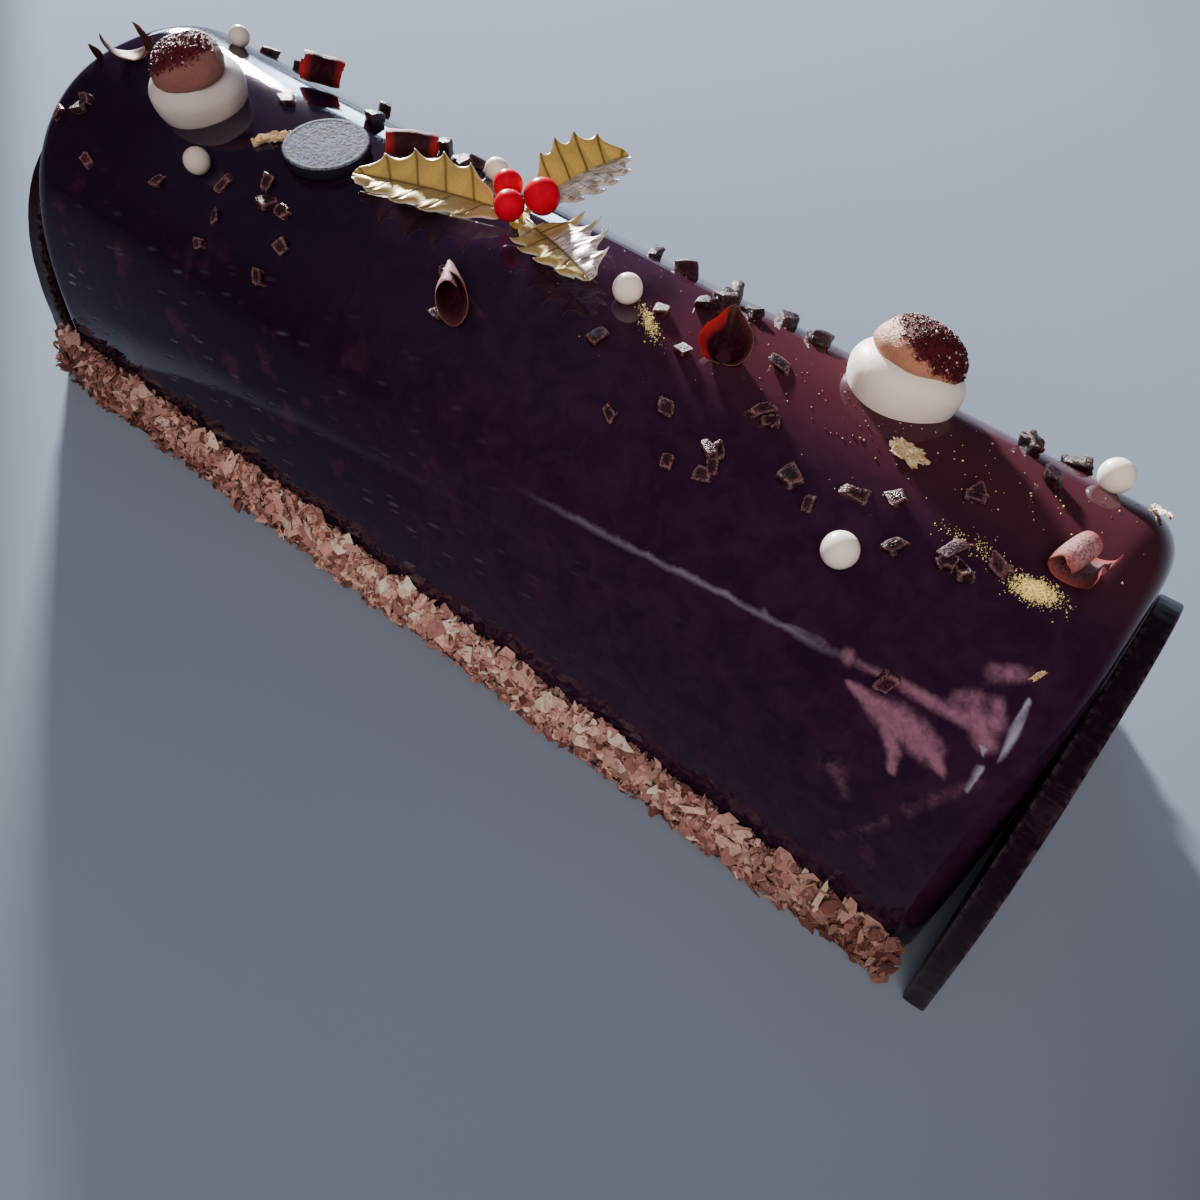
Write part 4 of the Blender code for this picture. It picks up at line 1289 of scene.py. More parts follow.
def sprig_stem(finish):
    """The sprig's short stem and pin, turned from a profile and ribbed like wound wire."""
    foot = float(crown_height(HUB_PLACE[1])) - 1.0 * MM
    brim = LEAF_LEVEL - 0.4 * MM
    up = np.linspace(foot, brim, 24)
    ribs = HUB_RADIUS * (0.86 + 0.05 * np.sin((up - foot) / MM * 9))
    body = np.stack((ribs, up), axis=-1)
    profile = np.concatenate(([[0, foot]], body, [[0.6 * MM, brim], [0.5 * MM, PIN_TOP], [0, PIN_TOP]]))
    shape = turned(profile, 40)
    shape[..., :2] += HUB_PLACE
    mesh = fill_mesh("sprig_stem", shape, [grid_quads(*shape.shape[:2])], {
        "rim": np.zeros(shape.shape[0] * shape.shape[1]),
        "vein": np.zeros(shape.shape[0] * shape.shape[1]),
        "silver": np.zeros(shape.shape[0] * shape.shape[1]),
    })
    add_piece("sprig_stem", mesh, finish, "holly_gold", "holly_hub", crease=50)


def red_berry(number, direction, height, radius, finish):
    """A berry beside the pin: a ball with slight dents."""
    unit = ball_points(36, 56)
    shape = unit * (radius + lattice_noise(unit, 0.8, 20 + number) * 0.10 * MM)[..., None]
    reach = radius + 0.8 * MM
    bearing = math.radians(direction)
    centre = (HUB_PLACE[0] + reach * math.cos(bearing), HUB_PLACE[1] + reach * math.sin(bearing), height)
    mesh = fill_mesh(f"red_berry_{number}", shape + np.array(centre), [grid_quads(*unit.shape[:2])])
    add_piece(f"red_berry_{number}", mesh, finish, "berry_red", f"holly_berry_{number}")


def curl_shell(name, number, outer, inner, thin, looks, place, finish):
    """Close a curl's outer and inner face into one shell, with its layers."""
    rows, columns = thin.shape
    shape = np.concatenate((outer, inner[:, ::-1]), axis=1)
    bloom_out, bloom_in, glow = looks
    glow = np.broadcast_to(glow, thin.shape)
    layers = {
        "edge": np.concatenate((thin, thin[:, ::-1]), axis=1).ravel(),
        "bloom": np.concatenate((0 * thin + bloom_out, 0 * thin + bloom_in), axis=1).ravel(),
        "glow": np.concatenate((glow, glow[:, ::-1]), axis=1).ravel(),
    }
    mesh = fill_mesh(name, moved(shape, place), [grid_quads(rows, 2 * columns, ring=True)], layers)
    add_piece(name, mesh, finish, "curl_chocolate", f"curl_{number}", crease=70)


def rolled_curl(number, along, across, sizes, finish):
    """A shaving rolled into a spiral that tightens inwards, with thin ragged edges.

    Rows follow the roll, columns go along it on the outer face and back on the inner.
    The radius falls in proportion to the angle, the outer end flares out by a square,
    and the far end is drawn in.
    """
    radius, length, start, turn, heading, lift, taper, flare, point, slant, *looks = sizes
    rows, columns = 120, 27
    share = np.linspace(0, 1, rows)[:, None]
    side = np.linspace(-1, 1, columns)[None]
    edge_place = np.stack(np.broadcast_arrays(share * 9, np.sign(side) * 3, 0 * share), axis=-1)
    ragged = lattice_noise(edge_place, 1.0, 40 + number)
    narrow = 1 - point * np.abs(2 * share - 1) ** 3 * 0.92
    flat = side * length / 2 * (1 + 0.12 * ragged * np.abs(side) ** 3) * narrow
    end_place = np.stack(np.broadcast_arrays(share * 0 + 7, side * 2, 0 * share), axis=-1)
    creep = lattice_noise(end_place, 0.7, 60 + number)
    ends = (2 * share - 1) ** 5
    angle = math.radians(turn) * (share + 0.035 * creep * ends)
    reach = radius - 0.4 * MM - CURL_TIGHTEN * angle / math.tau * (radius < 5 * MM)
    reach = reach + flare * (1 - share / 0.28).clip(0) ** 2
    wave_place = np.stack(np.broadcast_arrays(share * 5, side, 0 * share), axis=-1)
    reach = reach + 0.16 * MM * lattice_noise(wave_place, 0.8, 80 + number)
    bearing = math.radians(start) + angle
    rim = np.maximum(np.abs(side), np.abs(2 * share - 1) ** 3)
    wall = 0.34 * MM * (1 - rim**4) * (1 + 0 * reach) + 0.05 * MM
    wall[[0, -1]] = 0
    scale = 1 - taper * (0.5 + flat / length)
    flat = flat + slant * reach * np.sin(bearing) * (1 - side) / 2
    faces = []
    for away in (wall, -wall):
        out = (reach + away) * scale
        face = np.broadcast_arrays(flat, out * np.cos(bearing), out * np.sin(bearing))
        faces.append(np.stack(face, axis=-1))
    near_end = np.minimum(share, 1 - share) * math.radians(turn) * radius
    away = np.minimum(length / 2 * (1 - np.abs(side)), near_end)
    thin = np.broadcast_to(np.exp(-away / (0.8 * MM)), reach.shape)
    # near a flared outer end the glow passes 1: painted glow in the colour
    glow = looks[2] * (1 + 0.9 * smooth_step(2.6, 0.0, away / MM) * (flare > 0))
    looks = (looks[0], looks[1], glow)
    place = on_crown(along, across) @ Matrix.Translation((0, 0, radius - SEAT_DEPTH + GAP))
    place = place @ Matrix.Rotation(math.radians(heading), 4, "Z")
    place = place @ Matrix.Rotation(-math.radians(lift), 4, "Y")
    curl_shell(f"rolled_curl_{number}", number, *faces, thin, looks, place, finish)


def open_shell(number, along, across, finish):
    """A shaving folded into an upright open shell: two hollow lobes that meet at a crease.

    Rows go round from lobe to lobe, columns rise from the pinched foot to the rim. The
    radius grows by a power of the height and is pushed out at the crease, where the rim
    stands highest.
    """
    rows, columns = 120, 30
    turn = np.linspace(-1, 1, rows)[:, None]
    rise = np.linspace(0, 1, columns)[None]
    bearing = math.radians(176) * turn
    crease = np.exp(-np.abs(turn) / 0.12)
    radius = (0.8 + 3.2 * rise**0.75) * (1 + 0.34 * crease * rise) * MM
    radius = radius * (1 + 0.16 * np.sin(bearing) ** 2 - 0.22 * rise * np.exp(-(((1 - np.abs(turn)) / 0.16) ** 2)))
    ragged = lattice_noise(np.stack(np.broadcast_arrays(turn * 9, rise * 0, 0 * turn), axis=-1), 1.0, 44)
    tall = 3.6 + 1.4 * np.cos(bearing) + 2.2 * np.exp(-((turn / 0.14) ** 2)) + 0.30 * ragged
    tall = tall - 0.8 * np.exp(-(((1 - np.abs(turn)) / 0.2) ** 2))
    height = tall * rise * MM
    wave = lattice_noise(np.stack(np.broadcast_arrays(turn * 3, rise * 2, 0 * turn), axis=-1), 0.8, 45)
    radius = radius + 0.25 * MM * wave * rise
    rim = np.maximum(np.abs(turn), rise)
    wall = 0.30 * MM * (1 - rim**5) + 0.05 * MM
    wall[[0, -1]] = 0
    faces = []
    for away in (wall, -wall):
        out = np.maximum(radius + away, 0.05 * MM)
        face = np.broadcast_arrays(out * np.cos(bearing), out * np.sin(bearing), height)
        faces.append(np.stack(face, axis=-1))
    away = (1 - rise) * 6 * MM
    thin = np.exp(-away / (0.9 * MM)) + 0.7 * np.exp(-((turn / 0.03) ** 2)) * rise
    thin = np.broadcast_to(thin.clip(0, 1), radius.shape)
    lobe = smooth_step(0.02, 0.10, turn) + 0.28 * smooth_step(-0.02, -0.10, turn)
    lit = lobe * smooth_step(0.98, 0.75, np.abs(turn)) * smooth_step(0.25, 0.9, rise)
    # the lit lobe's glow passes 1: painted glow in the colour
    glow = 0.15 + 1.75 * lit
    place = on_crown(along, across) @ Matrix.Translation((0, 0, -0.2 * MM))
    place = place @ Matrix.Rotation(math.radians(112), 4, "Z") @ Matrix.Rotation(math.radians(-16), 4, "Y")
    curl_shell(f"rolled_curl_{number}", number, *faces, thin, (0.8, 0.0, glow), place, finish)


def box_shape(cuts):
    """Points of a cube's surface from -1 to 1, each face a grid, and the quads."""
    line = np.linspace(-1, 1, cuts + 1)
    first, second = np.meshgrid(line, line, indexing="ij")
    edge = np.ones_like(first)
    faces = [
        np.stack(np.roll((sign * edge, first, second), turn, axis=0), axis=-1)
        for turn in range(3)
        for sign in (-1, 1)
    ]
    points = np.stack(faces).reshape(-1, 3)
    quads = grid_quads(cuts + 1, cuts + 1)
    return points, np.concatenate([quads + number * (cuts + 1) ** 2 for number in range(6)])


def cocoa_nibs(settings):
    """Angular nibs: cubes rounded by a power norm, tapered, sheared and chipped."""
    noise = np.random.default_rng(31)
    rows = np.array(NIBS, float)
    groups = np.repeat(rows, rows[:, 3].astype(int), axis=0)
    count = len(groups)
    angle = noise.uniform(0, math.tau, count)
    spread = groups[:, 2] * noise.uniform(0.5, 1.1, count) * MM
    along = groups[:, 0] * MM + spread * np.cos(angle)
    across = groups[:, 1] * MM + spread * np.sin(angle)
    cube, quads = box_shape(4)
    edge = np.sort(np.abs(cube), axis=1)[:, 1]
    shape = cube / (np.sum(np.abs(cube) ** 7, axis=1, keepdims=True) ** (1 / 7))
    half = np.stack((noise.uniform(1.25, 1.95, count), noise.uniform(0.9, 1.4, count), noise.uniform(0.5, 1.0, count)), axis=-1) * MM
    # far-side nibs are larger, and darker with less pale edge as painted shade
    far = smooth_step(3, 10, groups[:, 1])[:, None]
    half = half * (1 + far * [0.2, 0.2, 0.6])
    lean = noise.uniform(-0.28, 0.28, (count, 3, 3))
    bent = shape[None] + np.einsum("nij,kj->nki", lean, shape)
    taper = 1 + noise.uniform(-0.35, 0.2, (count, 1)) * shape[None, :, 0]
    bent = bent * np.stack((np.ones_like(taper), taper, taper), axis=-1)
    offset = noise.uniform(0, 20, (count, 1, 3))
    chip = lattice_noise(shape[None] * 1.3 + offset, 1.0, 33)
    bent = bent * (1 + 0.20 * chip)[..., None] * half[:, None] * settings.nib_size / (3.5 * MM)
    place, basis = crown_places(along, across, half[:, 2] * 0.75)
    turns = basis @ turns_of(noise, count, 0.45)
    points, faces = repeated(bent, [quads], np.concatenate((turns, place[..., None]), axis=-1))
    dark = np.array(settings.colour_nib[:])
    # painted shade: far-side nibs darker, and their pale edge reduced below
    tint = dark[None] * np.exp(noise.normal(0, 0.35, (count, 1)) - 0.8 * far) + noise.uniform(0, 0.02, (count, 1)) * [1, 0.3, 0.4]
    layers = {
        "tint": np.repeat(tint, len(cube), axis=0),
        "edge": (smooth_step(0.45, 1.0, edge) * (1 - 0.8 * far)).ravel(),
    }
    mesh = fill_mesh("cocoa_nibs", points, faces, layers)
    add_piece("cocoa_nibs", mesh, nib_finish(settings), "curl_chocolate", crease=38)


def thorn_shards(finish):
    """Two slim curved shards that stand up: an oval section carried along a bent path."""
    share = np.linspace(0, 1, 28)[:, None]
    bearing = np.linspace(0, math.tau, 13)[None, :-1]
    parts = []
    # along, across, height, width, bow to the side, heading in radians
    for along, across, tall, wide, bow, turn in (
        (-108.7, -3.0, 8.8, 1.25, -1.7, 0.5),
        (-119.3, -9.7, 4.0, 0.95, -0.8, 0.7),
    ):
        width = wide * np.sin(math.pi * (0.18 + 0.82 * share) ** 0.9) ** 0.7 + 0.03
        path = bow * (share**2.2 - 0.35 * np.sin(math.pi * share))
        x = path + width * np.cos(bearing)
        y = width * np.sin(bearing) * 0.45
        z = tall * share + 0 * bearing - 0.8
        flat = np.stack(np.broadcast_arrays(x, y, z), axis=-1) * MM
        place = on_crown(along * MM, across * MM) @ Matrix.Rotation(turn, 4, "Z")
        parts.append(moved(flat, place))
    points = np.stack(parts)
    points = points + lattice_noise(points, 1.2 * MM, 72)[..., None] * 0.10 * MM
    points[:, [0, -1]] = points[:, [0, -1]].mean(axis=2, keepdims=True)
    quads = grid_quads(28, 12, ring=True)
    quads = np.concatenate((quads, quads + 28 * 12))
    layers = {
        "edge": np.tile(smooth_step(0.7, 1, share).repeat(12), 2),
        "bloom": np.full(2 * 28 * 12, 0.02),
        "glow": np.zeros(2 * 28 * 12),
    }
    mesh = fill_mesh("thorn_shards", points, [quads], layers)
    add_piece("thorn_shards", mesh, finish, "curl_chocolate")


def gold_scraps(finish):
    """Crumpled scraps of gold leaf: a thin sheet lifted and torn at its rim by noise."""
    rows = np.linspace(-1, 1, 34)[:, None]
    columns = np.linspace(-1, 1, 26)[None]
    parts = []
    # along, across, heading in degrees, half length, half width, lift; in millimetres
    scraps = (
        (81.3, 0.1, -12, 3.6, 2.2, 0.35),
        (-63.8, -6.6, 50, 4.4, 1.3, 0.8),
        (118.5, 22.6, -60, 3.0, 1.2, 0.4),
        (116.8, -21.2, 62, 1.3, 0.45, 0.2),
    )
    for number, (along, across, heading, length, width, lift) in enumerate(scraps):
        flat = np.stack(np.broadcast_arrays(rows, columns, 0 * rows), axis=-1)
        torn = 1 + 0.28 * lattice_noise(flat * 2.3, 1.0, 90 + number) + 0.12 * lattice_noise(flat * 7, 1.0, 91 + number)
        crease = lattice_noise(flat * 3.0, 1.0, 95 + number) + 0.5 * lattice_noise(flat * 7.0, 1.0, 96 + number)
        round_off = np.sqrt(1 - 0.5 * np.minimum(rows**2, columns**2))
        x = rows * torn * length * round_off
        y = columns * torn * width * round_off
        z = lift * (0.9 + crease)
        wall = 0.06 + 0 * z
        sheet = np.stack((x + 0 * z, y + 0 * z, z), axis=-1)
        up = np.stack((0 * z, 0 * z, wall), axis=-1)
        shell = np.concatenate((sheet + up, (sheet - up)[:, ::-1]), axis=1) * MM
        middle = np.concatenate((sheet, sheet[:, ::-1]), axis=1) * MM
        shell[[0, -1]] = middle[[0, -1]]
        place = on_crown(along * MM, across * MM) @ Matrix.Rotation(math.radians(heading), 4, "Z")
        parts.append(moved(shell, place))
    points = np.stack(parts)
    quads = grid_quads(34, 52, ring=True)
    quads = np.concatenate([quads + number * 34 * 52 for number in range(len(scraps))])
    mesh = fill_mesh("gold_scraps", points, [quads])
    add_piece("gold_scraps", mesh, finish, "holly_gold", crease=60)


# along, across, half length, half width, heading in degrees, count
DUST = (
    (109.7, -11.2, 2.8, 1.5, 8, 1900),
    (109.7, -11.2, 4.2, 2.2, 8, 260),
    (99.0, -9.6, 6.0, 1.6, 0, 160),
    (30.0, -1.8, 4.2, 1.2, -38, 420),
    (97.0, 4.0, 14.0, 8.0, 0, 45),
)


def gold_dust(finish):
    """Gold dust in soft oval patches on the crown."""
    noise = np.random.default_rng(17)
    rows = np.repeat(np.array(DUST, float), [row[5] for row in DUST], axis=0)
    count = len(rows)
    along = noise.normal(0, 0.55, count) * rows[:, 2]
    across = noise.normal(0, 0.55, count) * rows[:, 3]
    turn = np.radians(rows[:, 4])
    x = (rows[:, 0] + along * np.cos(turn) - across * np.sin(turn)) * MM
    y = (rows[:, 1] + along * np.sin(turn) + across * np.cos(turn)) * MM
    place, _ = crown_places(x, y, noise.uniform(0.02, 0.22, count) * MM)
    colours = np.broadcast_to((0.95, 0.85, 0.45), (count, 3))
    mesh = grain_mesh("gold_dust", noise, place, 0.105 * MM, colours)
    add_piece("gold_dust", mesh, finish, "holly_gold")


def fine_specks(finish):
    """Pale and dark crumbs scattered thinly on the crown."""
    noise = np.random.default_rng(23)
    count = 240
    along = noise.uniform(-30, 120, count) * MM
    across = noise.uniform(-14, 27, count) * MM
    near = noise.uniform(0, 1, count) < 0.25
    along = np.where(near, (70 + noise.normal(0, 9, count)) * MM, along)
    across = np.where(near, (4 + noise.normal(0, 5, count)) * MM, across)
    place, _ = crown_places(along, across, np.full(count, 0.05 * MM))
    tints = np.array([(0.60, 0.48, 0.42), (0.30, 0.14, 0.12), (0.05, 0.02, 0.03)])
    colours = tints[noise.choice(3, count, p=(0.45, 0.25, 0.30))]
    mesh = grain_mesh("fine_specks", noise, place, 0.13 * MM, colours)
    add_piece("fine_specks", mesh, finish, "wafer_flakes")


# ---------------------------------------------------------------- stage


def soft_box(name, bearing, rise, distance, size, power, colour, aim=(0, 0, 0.05)):
    """An area light at a bearing from +Y towards -X and a rise, facing the cake."""
    lamp = bpy.data.lights.new(name, "AREA")
    lamp.shape = "RECTANGLE"
    lamp.size, lamp.size_y = size
    lamp.energy = power
    lamp.color = colour
    holder = bpy.data.objects.new(name, lamp)
    bpy.context.scene.collection.objects.link(holder)
    bearing, rise = math.radians(bearing), math.radians(rise)
    back = np.array([-math.sin(bearing) * math.cos(rise), math.cos(bearing) * math.cos(rise), math.sin(rise)])
    turn = Matrix((
        (math.cos(bearing), math.sin(bearing) * math.sin(rise), back[0]),
        (math.sin(bearing), -math.cos(bearing) * math.sin(rise), back[1]),
        (0, math.cos(rise), back[2]),
    )).to_4x4()
    holder.matrix_world = Matrix.Translation(np.array(aim) + back * distance) @ turn
    return holder


def pale_floor(settings):
    """A flat grid under the cake, which falls off the view on every side."""
    line = np.linspace(-3, 3, 25)
    x, y = np.meshgrid(line, line, indexing="ij")
    points = np.stack((x, y, np.zeros_like(x)), axis=-1)
    mesh = bpy.data.meshes.new("floor")
    mesh.from_pydata(points.reshape(-1, 3).tolist(), [], grid_quads(25, 25).tolist())
    floor = bpy.data.objects.new("floor", mesh)
    bpy.context.scene.collection.objects.link(floor)
    mesh.materials.append(floor_finish(settings))


def main_camera(settings):
    """The camera: a place, a bearing, a downward pitch and a roll."""
    lens = bpy.data.cameras.new("camera")
    lens.sensor_width = 36.0
    lens.lens = settings.focal_length
    lens.clip_start, lens.clip_end = 0.01, 20.0
    bearing = math.radians(36.07)
    pitch, roll = math.radians(53.6), math.radians(3.44)
    ahead = np.array([-math.sin(bearing) * math.cos(pitch), math.cos(bearing) * math.cos(pitch), -math.sin(pitch)])
    right = np.array([math.cos(bearing), math.sin(bearing), 0.0])
    up = np.cross(right, ahead)
    side = math.cos(roll) * right + math.sin(roll) * up
    top = -math.sin(roll) * right + math.cos(roll) * up
    holder = bpy.data.objects.new("camera", lens)
    bpy.context.scene.collection.objects.link(holder)
    turn = Matrix(np.stack((side, top, -ahead), axis=-1).tolist()).to_4x4()
    holder.matrix_world = Matrix.Translation((0.1160, -0.1297, 0.2009)) @ turn
    bpy.context.scene.camera = holder


def room_light(settings):
    """A dim even room, and soft boxes: a low key, a window strip and a weak fill."""
    world = bpy.data.worlds.new("room")
    world.use_nodes = True
    back = world.node_tree.nodes["Background"]
    back.inputs["Color"].default_value = (0.58, 0.64, 1.0, 1.0)
    back.inputs["Strength"].default_value = settings.room_strength
    bpy.context.scene.world = world
    soft_box("key", 54, 12.5, 1.6, (0.13, 0.13), settings.key_power, (1.0, 0.96, 0.93))
    soft_box("window", 47, 8.5, 1.5, (0.85, 0.32), settings.window_power, (0.62, 0.82, 1.0))
    fill = soft_box("fill", -150, 42, 1.2, (1.0, 1.0), settings.fill_power, (1.0, 0.84, 0.76))
    sky = soft_box("sky", 0, 86, 1.3, (1.4, 1.4), settings.sky_power, (0.58, 0.64, 1.0))
    fill.visible_glossy = sky.visible_glossy = False


# ---------------------------------------------------------------- settings


def colour_property(name, description, default):
    """A linear colour that a user may change."""
    return bpy.props.FloatVectorProperty(
        name=name, description=description, default=default, size=3, min=0, max=1, subtype="COLOR"
    )


def size_property(name, description, default):
    """A length in metres that a user may change."""
    return bpy.props.FloatProperty(
        name=name, description=description, default=default, min=0, unit="LENGTH", precision=5
    )


class GlazeSettings(bpy.types.PropertyGroup):
    """The mirror glaze over the log."""

    colour_dark: colour_property("Dark", "Deepest glaze colour", (0.0195, 0.0064, 0.0215))
    colour_light: colour_property("Light", "Palest glaze colour", (0.033, 0.0110, 0.0290))
    # painted light: redder crown where the key light falls
    colour_painted_lit_crown: colour_property("Crown", "Redder crown towards the right", (0.063, 0.0170, 0.0220))
    # painted shade at the left end
    colour_painted_shade_end: colour_property("Left end", "Blue-black glaze at the left", (0.0095, 0.0048, 0.0135))
    # painted sheen of the smears
    colour_painted_smear_sheen: colour_property("Smear", "Cloudy smears", (0.28, 0.130, 0.190))
    wave_height: size_property("Waves", "Height of the skin's broad waves", 0.16 * MM)
    dimple_depth: size_property("Dimples", "Depth of the small hollows", 0.22 * MM)


class PlaqueSettings(bpy.types.PropertyGroup):
    """The chocolate plaques at the ends."""

    colour: colour_property("Chocolate", "Plaque colour", (0.010, 0.0035, 0.008))
    colour_bloom: colour_property("Bloom", "Dusty scratches", (0.050, 0.022, 0.034))


class BorderSettings(bpy.types.PropertyGroup):
    """The borders of wafer flakes."""

    flake_count: bpy.props.IntProperty(
        name="Flakes", description="Flakes on each side", default=6600, min=10, max=5200
    )
    flake_size: size_property("Size", "Usual half length of a flake", 1.50 * MM)
    colour_brown: colour_property("Brown", "Darkest flakes", (0.19, 0.075, 0.062))
    colour_tan: colour_property("Tan", "Usual flakes", (0.46, 0.235, 0.20))
    colour_peach: colour_property("Peach", "Pale flakes", (0.74, 0.46, 0.37))
    colour_cream: colour_property("Cream", "Palest flakes", (0.90, 0.70, 0.55))
    colour_toast: colour_property("Toast", "Toasted patches", (0.24, 0.10, 0.05))
    # dark crumb: painted shade between the flakes
    colour_crumb: colour_property("Crumb", "Crumb between the flakes", (0.16, 0.07, 0.045))


class ToppingSettings(bpy.types.PropertyGroup):
    """Curls and nibs on the crown."""

    colour_dark: colour_property("Chocolate", "Curl colour", (0.022, 0.0035, 0.008))
    colour_bloom: colour_property("Bloom", "Pale bloom on curls and nibs", (0.40, 0.205, 0.215))
    colour_edge: colour_property("Thin edge", "Colour of a curl's thin edge", (0.40, 0.17, 0.13))
    colour_glow: colour_property("Glow", "Light through a thin curl", (0.90, 0.050, 0.028))
    colour_nib: colour_property("Nibs", "Colour of the cocoa nibs", (0.022, 0.008, 0.013))
    nib_size: size_property("Nib size", "Usual length of a nib", 3.5 * MM)


class HollySettings(bpy.types.PropertyGroup):
    """The holly sprig."""

    colour_leaf: colour_property("Leaf", "Gold of the leaves", (0.92, 0.74, 0.30))
    colour_leaf_deep: colour_property("Deep leaf", "Deeper gold", (0.72, 0.52, 0.17))
    colour_rim: colour_property("Rim", "Pale spiny rim", (0.86, 0.80, 0.62))
    colour_berry: colour_property("Berry", "Red of the berries", (0.74, 0.0, 0.020))


class StageSettings(bpy.types.PropertyGroup):
    """Floor, light and camera."""

    colour_floor: colour_property("Floor", "Floor colour", (0.225, 0.275, 0.345))
    room_strength: bpy.props.FloatProperty(
        name="Room", description="Strength of the even room light", default=0.07, min=0
    )
    sky_power: bpy.props.FloatProperty(
        name="Sky", description="Power of the broad light above", default=2.6, min=0, unit="POWER"
    )
    key_power: bpy.props.FloatProperty(
        name="Key", description="Power of the low key light", default=145, min=0, unit="POWER"
    )
    window_power: bpy.props.FloatProperty(
        name="Window", description="Power of the window strip", default=12, min=0, unit="POWER"
    )
    fill_power: bpy.props.FloatProperty(
        name="Fill", description="Power of the fill light", default=13, min=0, unit="POWER"
    )
    focal_length: bpy.props.FloatProperty(
        name="Lens", description="Focal length", default=32.26, min=1, subtype="DISTANCE_CAMERA"
    )


# ---------------------------------------------------------------- operators


class CAKE_OT_glaze(bpy.types.Operator):
    """Make the glazed log"""

    bl_idname = "cake.glaze"
    bl_label = "Glazed log"

    def execute(self, context):
        glazed_log(context.scene.cake_glaze)
        return {"FINISHED"}


class CAKE_OT_plaques(bpy.types.Operator):
    """Make the chocolate plaques at both ends"""

    bl_idname = "cake.plaques"
    bl_label = "End plaques"

    def execute(self, context):
        finish = plaque_finish(context.scene.cake_plaque)
        for seed, (name, side, shift) in enumerate(PLAQUES):
            end_plaque(name, side, shift, 10 * seed + 3, finish)
        return {"FINISHED"}


class CAKE_OT_borders(bpy.types.Operator):
    """Make the wafer flake borders along both sides"""

    bl_idname = "cake.borders"
    bl_label = "Flake borders"

    def execute(self, context):
        settings = context.scene.cake_border
        crumb, wafer = core_finish(settings), flake_finish(settings)
        for name, side, seed in (("front", -1, 5), ("back", 1, 11)):
            core = border_core("flake_core_" + name, side, seed, crumb)
            add_piece("flake_core_" + name, core, crumb, "wafer_flakes", "flake_border_" + name)
            flakes = border_flakes("wafer_flakes_" + name, side, seed, settings)
            add_piece("wafer_flakes_" + name, flakes, wafer, "wafer_flakes", "flake_border_" + name, crease=35)
        return {"FINISHED"}


class CAKE_OT_mushrooms(bpy.types.Operator):
    """Make the meringue mushrooms"""

    bl_idname = "cake.mushrooms"
    bl_label = "Mushrooms"

    def execute(self, context):
        finishes = meringue_finish(), cap_finish(), grain_finish()
        for seed, sizes in enumerate(MUSHROOMS):
            mushroom(*sizes, 40 * seed + 7, finishes)
        return {"FINISHED"}


class CAKE_OT_pearls(bpy.types.Operator):
    """Make the sugar pearls"""

    bl_idname = "cake.pearls"
    bl_label = "Sugar pearls"

    def execute(self, context):
        finish = pearl_finish()
        for number, sizes in enumerate(PEARLS, start=1):
            pearl(number, *sizes, finish)
        return {"FINISHED"}


class CAKE_OT_disc(bpy.types.Operator):
    """Make the plain chocolate disc"""

    bl_idname = "cake.disc"
    bl_label = "Chocolate disc"

    def execute(self, context):
        plain_disc(disc_finish())
        return {"FINISHED"}


class CAKE_OT_holly(bpy.types.Operator):
    """Make the holly sprig with its leaves and berries"""

    bl_idname = "cake.holly"
    bl_label = "Holly sprig"

    def execute(self, context):
        settings = context.scene.cake_holly
        foil, red = leaf_finish(settings), berry_finish(settings)
        for seed, sizes in enumerate(LEAVES):
            holly_leaf(*sizes, seed + 1, foil)
        sprig_stem(foil)
        for number, sizes in enumerate(BERRIES, start=1):
            red_berry(number, *sizes, red)
        return {"FINISHED"}


class CAKE_OT_curls(bpy.types.Operator):
    """Make the chocolate curls and upright shards"""

    bl_idname = "cake.curls"
    bl_label = "Chocolate curls"

    def execute(self, context):
        finish = curl_finish(context.scene.cake_topping)
        for number, (seat, sizes) in enumerate(zip(CURLS, SHAVINGS), start=1):
            if sizes is None:
                open_shell(number, *seat[:2], finish)
            else:
                rolled_curl(number, *seat[:2], sizes, finish)
        thorn_shards(finish)
        return {"FINISHED"}


class CAKE_OT_nibs(bpy.types.Operator):
    """Scatter the cocoa nibs and fine specks"""

    bl_idname = "cake.nibs"
    bl_label = "Cocoa nibs"

    def execute(self, context):
        cocoa_nibs(context.scene.cake_topping)
        fine_specks(grain_finish())
        return {"FINISHED"}


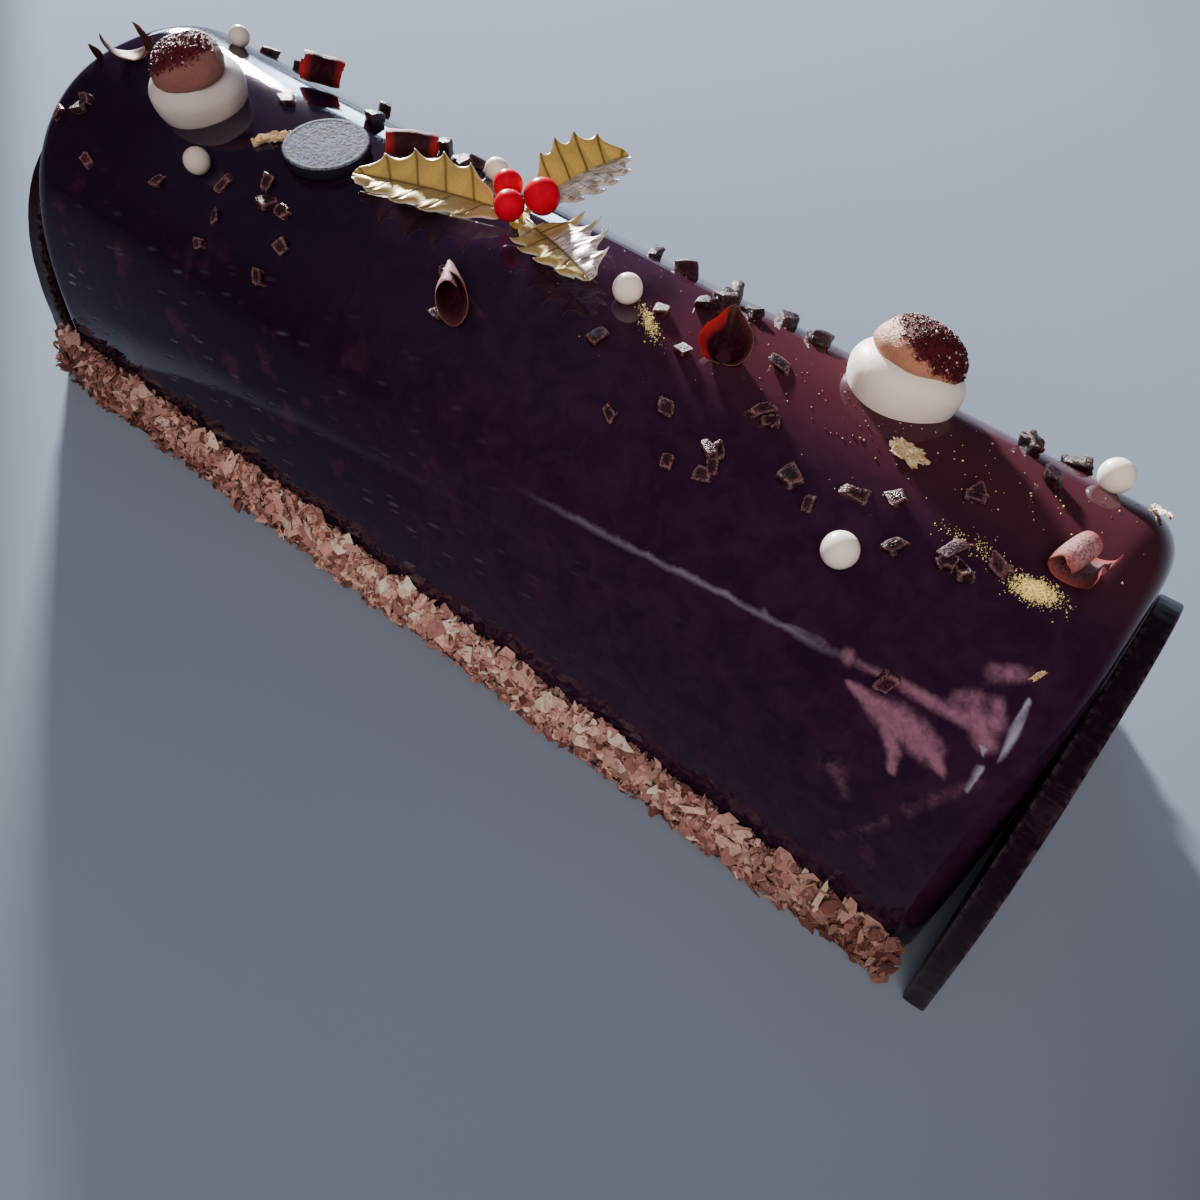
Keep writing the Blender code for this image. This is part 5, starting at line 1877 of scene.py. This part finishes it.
class CAKE_OT_gold(bpy.types.Operator):
    """Lay the gold leaf and dust"""

    bl_idname = "cake.gold"
    bl_label = "Gold leaf and dust"

    def execute(self, context):
        finish = gold_finish()
        gold_scraps(finish)
        gold_dust(dust_finish())
        return {"FINISHED"}


class CAKE_OT_stage(bpy.types.Operator):
    """Set up the floor, the lights and the camera"""

    bl_idname = "cake.stage"
    bl_label = "Stage"

    def execute(self, context):
        settings = context.scene.cake_stage
        pale_floor(settings)
        main_camera(settings)
        room_light(settings)
        return {"FINISHED"}


OPERATORS = (
    CAKE_OT_stage,
    CAKE_OT_glaze,
    CAKE_OT_plaques,
    CAKE_OT_borders,
    CAKE_OT_mushrooms,
    CAKE_OT_pearls,
    CAKE_OT_disc,
    CAKE_OT_holly,
    CAKE_OT_curls,
    CAKE_OT_nibs,
    CAKE_OT_gold,
)
SETTINGS = {
    "cake_glaze": GlazeSettings,
    "cake_plaque": PlaqueSettings,
    "cake_border": BorderSettings,
    "cake_topping": ToppingSettings,
    "cake_holly": HollySettings,
    "cake_stage": StageSettings,
}


class CAKE_PT_panel(bpy.types.Panel):
    """The cake's settings and pieces"""

    bl_idname = "CAKE_PT_panel"
    bl_label = "Yule log cake"
    bl_space_type = "VIEW_3D"
    bl_region_type = "UI"
    bl_category = "Cake"

    def draw(self, context):
        layout = self.layout
        for operator in OPERATORS:
            layout.operator(operator.bl_idname)
        for name in SETTINGS:
            group = getattr(context.scene, name)
            box = layout.box()
            for setting in group.__annotations__:
                box.prop(group, setting)


def register():
    """Register the settings, operators and panel."""
    for name, group in SETTINGS.items():
        bpy.utils.register_class(group)
        setattr(bpy.types.Scene, name, bpy.props.PointerProperty(type=group))
    for kind in (*OPERATORS, CAKE_PT_panel):
        bpy.utils.register_class(kind)


def unregister():
    """Undo register."""
    for kind in (CAKE_PT_panel, *reversed(OPERATORS)):
        bpy.utils.unregister_class(kind)
    for name, group in SETTINGS.items():
        delattr(bpy.types.Scene, name)
        bpy.utils.unregister_class(group)


def main():
    """Make every piece in order."""
    register()
    for operator in OPERATORS:
        group, name = operator.bl_idname.split(".")
        getattr(getattr(bpy.ops, group), name)()


if __name__ == "__main__":
    main()
